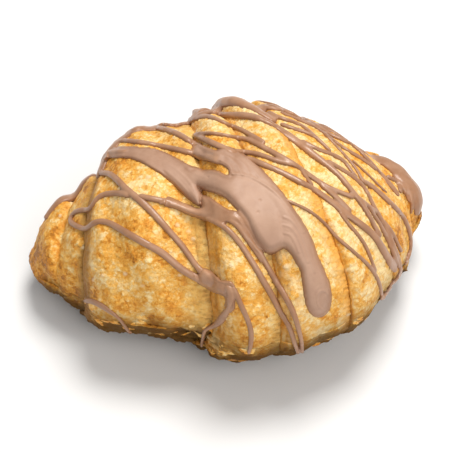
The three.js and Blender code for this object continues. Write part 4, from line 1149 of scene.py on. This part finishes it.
def spline(points, spacing, axes):
    """Points at an even spacing along a centripetal Catmull-Rom curve; axes are those with length."""
    points = np.array(points, dtype=float)
    padded = np.vstack((2 * points[0] - points[1], points, 2 * points[-1] - points[-2]))
    places = []
    for a, b, c, d in zip(padded, padded[1:], padded[2:], padded[3:]):
        knots = [0.0]
        for start, end in ((a, b), (b, c), (c, d)):
            knots.append(knots[-1] + max(np.linalg.norm((end - start)[:axes]), SPLINE_LEAST) ** 0.5)
        k0, k1, k2, k3 = knots
        steps = max(2, math.ceil(np.linalg.norm((c - b)[:axes]) / spacing * SPLINE_FINER))
        for k in np.linspace(k1, k2, steps, endpoint=False):
            ab = a + (b - a) * (k - k0) / (k1 - k0)
            bc = b + (c - b) * (k - k1) / (k2 - k1)
            cd = c + (d - c) * (k - k2) / (k3 - k2)
            abc = ab + (bc - ab) * (k - k0) / (k2 - k0)
            bcd = bc + (cd - bc) * (k - k1) / (k3 - k1)
            places.append(abc + (bcd - abc) * (k - k1) / (k2 - k1))
    return even_out(np.array(places + [points[-1]]), spacing, axes)


def even_out(course, spacing, axes):
    """The same course with its points at an even spacing."""
    run = np.concatenate(((0,), np.cumsum(np.linalg.norm(np.diff(course[:, :axes], axis=0), axis=1))))
    even = np.linspace(0, run[-1], max(4, round(run[-1] / spacing)))
    return np.stack([np.interp(even, run, course[:, k]) for k in range(course.shape[1])], -1)


def soften(values, spread):
    """Evens out values along a strand, over a spread given in steps, and keeps its ends."""
    values = np.asarray(values, dtype=float)
    margin = math.ceil(BELL_REACH * spread)
    offsets = np.arange(-margin, margin + 1)
    weights = np.exp(-0.5 * (offsets / spread) ** 2)
    weights /= weights.sum()
    padding = [(margin, margin)] + [(0, 0)] * (values.ndim - 1)
    if margin < len(values):
        padded = np.pad(values, padding, mode="reflect", reflect_type="odd")
    else:
        padded = np.pad(values, padding, mode="edge")
    return sum(weight * padded[k:k + len(values)] for k, weight in enumerate(weights))


def soften_both(values, spread):
    """Evens out a grid of values along its rows and down its columns."""
    return soften(soften(values, spread).T, spread).T


def sight_depth(place):
    """A place's direction and distance from the eye."""
    sight = place - sight_eye
    distance = np.linalg.norm(sight)
    return sight / distance, distance


def strand_course(strand):
    """The course of a strand: (place, width, normal, in sight or not) at an even spacing."""
    broad = "broad" in strand
    course = []
    for across, down, wide in spline(strand["seen"], SEEN_SPACING, 2):
        place, normal = seen_place(across, down)
        if place is not None:
            course.append((*place, wide, *normal, 1.0))
    if broad:
        distances = np.array([np.linalg.norm(np.array(stop[:3]) - sight_eye) for stop in course])
        distances = soften(distances, BROAD_SPREAD / SEEN_SPACING)
        for k, distance in enumerate(distances):
            away = sight_eye + unit(np.array(course[k][:3]) - sight_eye) * distance
            place, normal = nearest_on_crust(away)
            course[k] = (*place, course[k][3], *normal, 1.0)
    if "over" in strand:
        first_along, first_angle = to_axis(course[0][:3])
        behind = [(along, math.radians(degrees) * ARC_RADIUS) for along, degrees in strand["over"]]
        behind = spline(behind + [(first_along, first_angle * ARC_RADIUS)], RING_SPACING, 2)[:-1]
        unseen = []
        for along, arc in behind:
            place, normal = reach(along, arc / ARC_RADIUS)
            unseen.append((*place, max(course[0][3], UNSEEN_WIDE), *normal, 0.0))
        course = unseen + course
    return even_out(np.array(course), RING_SPACING, 3)


def strand_rings(strand):
    """Rings of points round a strand that lies on the crust and on the strands before it."""
    broad = "broad" in strand
    course = strand_course(strand)
    wide = course[:, 3]
    in_sight = course[:, 7] > 0.5
    ground = soften(course[:, :3], (BROAD_SPAN if broad else SPAN) / RING_SPACING)
    depth_in = np.zeros(len(ground))
    for k in np.flatnonzero(in_sight):
        sight, distance = sight_depth(ground[k])
        crust_distance, _ = look(crust_tree, sight)
        if crust_distance is not None:
            depth_in[k] = distance - crust_distance
    depth_in = np.maximum(soften(np.maximum(depth_in, 0), DEPTH_EVEN), 0) * (not broad)
    to_eye = unit(sight_eye - ground)
    ground = soften(ground + to_eye * depth_in[:, None], LIFT_EVEN)
    outward = unit(soften(course[:, 4:7], OUTWARD_EVEN))
    run = np.arange(len(course)) * RING_SPACING
    end_gap = np.minimum(run, run[-1] - run)

    rise = np.zeros(len(ground))
    for k in np.flatnonzero(in_sight):
        sight, distance = sight_depth(ground[k])
        for tree in laid_trees:
            laid_distance, _ = look(tree, sight)
            if laid_distance is not None and 0 < distance - laid_distance < RIDE_WITHIN:
                rise[k] = max(rise[k], (distance - laid_distance) * RIDE_OVER)
    rise = soften(rise, RIDE_SPREAD / RING_SPACING) * smooth_step(0, RIDE_START, end_gap)
    ground = ground + to_eye * np.maximum(rise, 0)[:, None]

    closing = np.sqrt(np.clip(1 - (1 - np.minimum(end_gap / (wide * 0.5), 1)) ** 2, END_LEAST, 1))
    tangents = unit(np.gradient(ground, axis=0))
    sideways = unit(np.cross(outward, tangents))
    facing = np.einsum("ij,ij->i", outward, to_eye)
    lean = smooth_step(*LEAN_FROM, facing) * in_sight
    lifting = (to_eye * (lean / np.maximum(facing, LEAST_FACING))[:, None] + outward * (1 - lean)[:, None])
    slender = SLENDER + (1 - SLENDER) * smooth_step(SLENDER_UP_TO, SLENDER_UP_TO + 1, wide)
    if broad:
        slender = soften(np.where(in_sight, 1 / np.clip(np.abs(facing), LEAST_FACING, 1), 1.0),
                         SLENDER_EVEN)
    half = wide / 2 * slender * closing
    thick = strand["thick"] * ROUNDNESS * closing ** END_FALL

    sides = np.linspace(-1, 1, FOLLOW_SIDES)
    follow = np.zeros((len(ground), len(sides)))
    if wide.max() > WIDE_FROM and not broad:
        for k in np.flatnonzero(in_sight & (wide > WIDE_FROM - WIDE_BEFORE)):
            for s, side in enumerate(sides):
                sight, distance = sight_depth(ground[k] + sideways[k] * side * half[k])
                crust_distance, _ = look(crust_tree, sight)
                if crust_distance is not None:
                    follow[k, s] = np.clip(crust_distance - distance, -FOLLOW_MOST, FOLLOW_MOST)
        wide_share = smooth_step(WIDE_FROM - WIDE_BEFORE, WIDE_FROM + WIDE_AFTER, wide)
        follow = soften(follow, FOLLOW_EVEN) * wide_share[:, None]
    rings = []
    for k in range(len(ground)):
        flatness = ROUND_TOP + max(0.0, wide[k] - FLAT_FROM) * FLAT_GROWTH
        ring = []
        for phase in np.arange(SECTION_POINTS) / SECTION_POINTS * 2 * math.pi:
            side, up = math.cos(phase), math.sin(phase)
            dome = (1 - min(1.0, abs(side)) ** flatness) ** 0.5
            height = thick[k] * dome - SINK if up >= 0 else -CORD_UNDER * thick[k] * dome - SINK
            foot = ground[k] + sideways[k] * side * half[k]
            if broad:
                ring.append(nearest_on_crust(foot)[0] + outward[k] * height)
                continue
            foot = foot - to_eye[k] * np.interp(side, sides, follow[k])
            ring.append(foot + lifting[k] * height)
        rings.append(ring)
    rings = np.array(rings)
    if broad:
        inner = smooth_step(*BROAD_END, end_gap)[:, None, None]
        rings = rings * (1 - inner) + soften(rings, RINGS_EVEN) * inner
    return rings


def polyline_distance(points, line):
    """Distances from points to a line of places, both in pixels."""
    line = np.array(line, dtype=float)
    nearest = np.full(points.shape[:-1], np.inf)
    for start, end in zip(line, line[1:]):
        step = end - start
        share = np.clip(((points - start) @ step) / (step @ step), 0, 1)
        nearest = np.minimum(nearest, np.linalg.norm(points - start - share[..., None] * step, axis=-1))
    return nearest


def inside_outline(points, outline):
    """Whether points lie inside a closed outline."""
    outline = np.array(outline, dtype=float)
    across, down = points[..., 0], points[..., 1]
    inside = np.zeros(points.shape[:-1], dtype=bool)
    for (x0, y0), (x1, y1) in zip(outline, np.roll(outline, -1, axis=0)):
        if y0 != y1:
            crosses = (y0 > down) != (y1 > down)
            inside ^= crosses & (across < (x1 - x0) * (down - y0) / (y1 - y0) + x0)
    return inside


def outline_gap(seen, outlines):
    """How far inside the joined outlines each place lies, in millimetres."""
    curves = [spline(outline + outline[:1], OUTLINE_SPACING, 2) for outline in outlines]
    rims = []
    for outline, rim in zip(outlines, curves):
        for other in outlines:
            if other is not outline:
                rim = rim[~inside_outline(rim, other)]
        rims.append(rim)
    rim = np.concatenate(rims)
    gap = np.full(seen.shape[:-1], np.inf)
    for part in np.array_split(rim, max(1, len(rim) // OUTLINE_PART)):
        gap = np.minimum(gap, np.linalg.norm(seen[..., None, :] - part, axis=-1).min(-1))
    inside = np.zeros(seen.shape[:-1], dtype=bool)
    for curve in curves:
        inside |= inside_outline(seen, curve)
    return np.where(inside, gap, -gap) / PIXELS_PER_MM


def lobe_height(seen, edge_gap):
    """The lobe that lies over the start of the finger."""
    lobe_side = np.array(LOBE_SIDE)
    lobe_gap = polyline_distance(seen, LOBE_SIDE) / PIXELS_PER_MM
    lobe_edge = np.interp(seen[..., 1], lobe_side[:, 1], lobe_side[:, 0])
    in_lobe = (seen[..., 0] < lobe_edge) & (seen[..., 1] > LOBE_FROM[0])
    lobe_share = np.sqrt(np.clip(1 - (1 - np.clip(lobe_gap / LOBE_ROUND, 0, 1)) ** 2, 0, 1))
    lobe_share *= smooth_step(*LOBE_FROM, seen[..., 1]) * np.clip(edge_gap / LOBE_EDGE, 0, 1)
    return np.where(in_lobe, LOBE_RISE * lobe_share, 0)


def flow_marks(seen):
    """The ridges of the flow, the flat disc at the finger's end and a few burst bubbles."""
    detail = np.zeros(seen.shape[:-1])
    for rise, line in FLOW_LINES:
        line_gap = polyline_distance(seen, spline(line, FLOW_SPACING, 2)) / PIXELS_PER_MM
        ridge = np.exp(-(line_gap / FLOW_LINE_WIDTH) ** 2)
        groove = np.exp(-((line_gap - FLOW_GROOVE_AT) / FLOW_LINE_WIDTH) ** 2)
        detail += rise * (ridge - FLOW_GROOVE_SHARE * groove)
    away = seen - np.array(DRIP_DISC["place"])
    cos, sin = math.cos(DRIP_DISC["lean"]), math.sin(DRIP_DISC["lean"])
    half_across, half_down = DRIP_DISC["half"]
    ring = np.hypot((away[..., 0] * cos - away[..., 1] * sin) / half_across,
                    (away[..., 0] * sin + away[..., 1] * cos) / half_down)
    detail += (DRIP_DISC["rim"] * np.exp(-((ring - 1) / DRIP_DISC["rim_width"]) ** 2)
               - DRIP_DISC["sunk"] * smooth_step(*DRIP_DISC["sunk_from"], ring))
    ripple = DRIP_DISC["ripple"] * np.sin((ring - 1) * 2 * math.pi / DRIP_DISC["ripple_length"])
    around = smooth_step(*DRIP_DISC["ripples_end"], ring) * smooth_step(*DRIP_DISC["ripples_start"], ring)
    detail += ripple * smooth_step(*DRIP_DISC["ripples_left_of"], away[..., 0]) * around
    for pit in PITS:
        pit_gap = np.linalg.norm(seen - np.array(pit), axis=-1) / PIXELS_PER_MM
        detail -= PIT_DEPTH * np.exp(-(pit_gap / PIT_RADIUS) ** 2)
    return detail


def in_photo(places):
    """Where places show in the photo (across, down)."""
    away = places - sight_eye
    scale = PIXELS_PER_MM * SIGHT_DISTANCE / -(away @ sight_away)
    return np.stack((TARGET_SEEN[0] + (away @ sight_right) * scale,
                     TARGET_SEEN[1] - (away @ sight_up) * scale), -1)


def apply_modifier(piece, kind, **settings):
    """Adds a modifier to the active piece and applies it."""
    modifier = piece.modifiers.new(kind.lower(), kind)
    for key, value in settings.items():
        setattr(modifier, key, value)
    bpy.ops.object.modifier_apply(modifier=modifier.name)


def places_of(piece):
    """The places of a piece's points, in millimetres from the middle of the centre line."""
    places = np.zeros(len(piece.data.vertices) * 3)
    piece.data.vertices.foreach_get("co", places)
    return places.reshape(-1, 3) / MM + (ORIGIN_X, ORIGIN_Y, 0.0)


def sheet_floor(sights):
    """How far the crust lies along each sight, over a grid. Beside the crust it runs on."""
    floor_distance = np.array([[look(crust_tree, sight)[0] or np.nan for sight in line] for line in sights])
    for line in floor_distance:
        missing = np.isnan(line)
        if not missing.all():
            line[missing] = np.interp(np.flatnonzero(missing), np.flatnonzero(~missing), line[~missing])
    return np.where(np.isnan(floor_distance), np.nanmax(floor_distance), floor_distance)


# each sheet: points in the photo's frame, raised from the evened-out crust towards the eye
sheet_objects, laid_trees = [], []
for sheet_name, sheet in SHEETS.items():
    places = np.concatenate([np.array(outline) for outline in sheet["outlines"]])
    margin = SHEET_MARGIN * PIXELS_PER_MM + SHEET_BEYOND
    low, high = places.min(0) - margin, places.max(0) + margin
    columns, lines = (round(length / SHEET_GRID) for length in high - low)
    seen = np.stack(np.meshgrid(np.linspace(low[0], high[0], columns),
                                np.linspace(high[1], low[1], lines)), -1)
    sights = np.array([[sight_through(*place) for place in line] for line in seen])
    floor_distance = sheet_floor(sights)
    even_floor = soften_both(floor_distance, SHEET_FLOOR_SPREAD * PIXELS_PER_MM / SHEET_GRID)
    near_floor = floor_distance.copy()
    for axis in (0, 1):
        for step in range(-NEAR_STEPS, NEAR_STEPS + 1):
            near_floor = np.minimum(near_floor, np.roll(floor_distance, step, axis))
    near_floor = soften_both(near_floor, NEAR_FLOOR_EVEN)
    edge_gap = outline_gap(seen, sheet["outlines"])
    full = np.clip(edge_gap / sheet["rounding"], 0, 1)
    height = sheet["thick"] * np.sqrt(1 - (1 - full) ** 2)
    height += sheet["crown"] * (1 - np.exp(-np.maximum(edge_gap, 0) / CROWN_LENGTH))
    if sheet_name == "pour":
        thinner = BAND_THICK / sheet["thick"]
        height *= thinner + (1 - thinner) * smooth_step(*BAND_TO_POUR, seen[..., 0])
        height += lobe_height(seen, edge_gap)
    height = np.where(edge_gap < 0, SHEET_DIVE * edge_gap, height)
    covered = np.minimum(even_floor - height, near_floor - SHEET_CLEAR * np.minimum(height, 1))
    sheet_places = sight_eye + sights * covered[..., None]
    deselect_all()
    bpy.ops.mesh.primitive_grid_add(x_subdivisions=columns - 1, y_subdivisions=lines - 1, size=2.0)
    sheet_object = bpy.context.object
    sheet_object.data.vertices.foreach_set("co", in_part(sheet_places).ravel())
    bpy.ops.object.mode_set(mode="EDIT")
    bpy.ops.mesh.select_mode(type="VERT")
    bpy.ops.mesh.select_all(action="DESELECT")
    bpy.ops.object.mode_set(mode="OBJECT")
    sheet_object.data.vertices.foreach_set("select", (edge_gap < -SHEET_MARGIN).ravel())
    bpy.ops.object.mode_set(mode="EDIT")
    bpy.ops.mesh.delete(type="VERT")
    bpy.ops.object.mode_set(mode="OBJECT")
    apply_modifier(sheet_object, "SOLIDIFY", thickness=SHEET_BODY * MM, offset=-1)
    sheet_objects.append(sheet_object)
    rows, points = np.nonzero(edge_gap[:-1, :-1] > LAID_FROM)
    corners = rows * columns + points
    laid_faces = np.stack((corners, corners + 1, corners + columns + 1, corners + columns), -1)
    laid_trees.append(BVHTree.FromPolygons(sheet_places.reshape(-1, 3).tolist(), laid_faces.tolist()))
pour_tree = laid_trees[0]

chocolate_pieces = []
for piece_name, strands in STRANDS.items():
    parts = sheet_objects if piece_name == "chocolate_pour" else []
    for strand in strands.values():
        rings = strand_rings(strand)
        ends = [rings[end].mean(0) + np.zeros((1, SECTION_POINTS, 3)) for end in (0, -1)]
        capped = np.concatenate((ends[0], rings, ends[1]))
        laid_trees.append(BVHTree.FromPolygons(capped.reshape(-1, 3).tolist(),
                                               grid_faces(*capped.shape[:2], 0)))
        strand_object = roll_up(capped)
        close_up(strand_object)
        parts.append(strand_object)
    chocolate = join_up(parts, piece_name)
    apply_modifier(chocolate, "REMESH", mode="VOXEL", voxel_size=CHOCOLATE_VOXEL * MM)
    apply_modifier(chocolate, "SMOOTH", **SETTLING)
    places = places_of(chocolate)
    shares = np.zeros(len(places))
    if piece_name == "chocolate_pour":
        seen = in_photo(places)
        sights = unit(places - sight_eye)
        on_pour = np.flatnonzero(inside_outline(seen, POUR_RIGHT + POUR_LEFT) | inside_outline(seen, BAND))
        for k in on_pour:
            distance, _ = look(pour_tree, sights[k])
            if distance is not None:
                shares[k] = abs(np.linalg.norm(places[k] - sight_eye) - distance)
        shares = smooth_step(*POURED_WITHIN, shares) * (shares > 0)
        gaps = outline_gap(seen[on_pour], SHEETS["pour"]["outlines"])
        marks = np.zeros(len(places))
        marks[on_pour] = flow_marks(seen[on_pour]) * smooth_step(*MARKS_FROM_EDGE, gaps)
        places -= sights * (marks * shares)[:, None]
        chocolate.data.vertices.foreach_set("co", in_part(places).ravel())
    keep_values(chocolate, {"poured": shares})
    triangles = 2 * len(chocolate.data.polygons)
    if triangles > CHOCOLATE_TRIANGLES:
        apply_modifier(chocolate, "DECIMATE", ratio=CHOCOLATE_TRIANGLES / triangles)
        places = places_of(chocolate)
    depths = [(Vector(place) - crust_tree.find_nearest(Vector(place))[0]).length for place in places]
    keep_values(chocolate, {"depth": np.array(depths)})
    bpy.ops.object.shade_smooth()
    chocolate_pieces.append(chocolate)

# chocolate is darker and redder where it thins out to its edge, up to about two millimetres deep: partly the
# thin edge's colour, partly painted shade along the foot of each cord
THIN_DEPTH, POURED_SHEEN_SHARE = 2.0, 0.5
THIN_SHADE_STOPS = ((0.0, (0.85,) * 3), (0.25, (0.62,) * 3), (0.55, (0.28,) * 3), (0.9, (0.0,) * 3))
DARK_MILK, LIGHT_MILK = (0.43, 0.228, 0.13, 1), (0.51, 0.29, 0.175, 1)
POURED_SHEEN_MILK, THIN_SHADED_MILK = (0.42, 0.27, 0.20, 1), (0.26, 0.115, 0.05, 1)
MILK_PATCHES, MILK_RANGE = 6.0, (0.35, 0.65)
SATIN, SATIN_POURED, SATIN_PATCHES, SATIN_RANGE, SATIN_SHARE = 0.29, 0.22, 4.0, (0.3, 0.7), 0.08
RIPPLE_SIZE, RIPPLE_RANGE, MILK_BUMP = 1.6, (0.2, 0.8), {"Strength": 0.15, "Distance": 0.0002}
milk_chocolate, tree, chocolate_shader = new_material("milk_chocolate")
chocolate_tone = blend_colors(tree, uneven(tree, MILK_PATCHES, MILK_RANGE), DARK_MILK, LIGHT_MILK)
poured = surface_value(tree, "poured")
# the pour is paler and greyer: painted sheen of its broad, smooth surface
chocolate_tone = blend_colors(tree, times(tree, poured, POURED_SHEEN_SHARE), chocolate_tone, POURED_SHEEN_MILK)
thinness_and_shade = ramp(tree, times(tree, surface_value(tree, "depth"), 1 / THIN_DEPTH), THIN_SHADE_STOPS)
chocolate_tone = blend_colors(tree, thinness_and_shade, chocolate_tone, THIN_SHADED_MILK)
tree.links.new(chocolate_tone, chocolate_shader.inputs["Base Color"])
satin = add_share(tree, uneven(tree, SATIN_PATCHES, SATIN_RANGE), SATIN_SHARE,
                  add_share(tree, poured, SATIN_POURED, SATIN))
tree.links.new(satin, chocolate_shader.inputs["Roughness"])
chocolate_bump = add_node(tree, "ShaderNodeBump",
                          {**MILK_BUMP, "Height": uneven(tree, RIPPLE_SIZE, RIPPLE_RANGE)})
tree.links.new(chocolate_bump.outputs[0], chocolate_shader.inputs["Normal"])
for chocolate in chocolate_pieces:
    dress(chocolate, milk_chocolate)
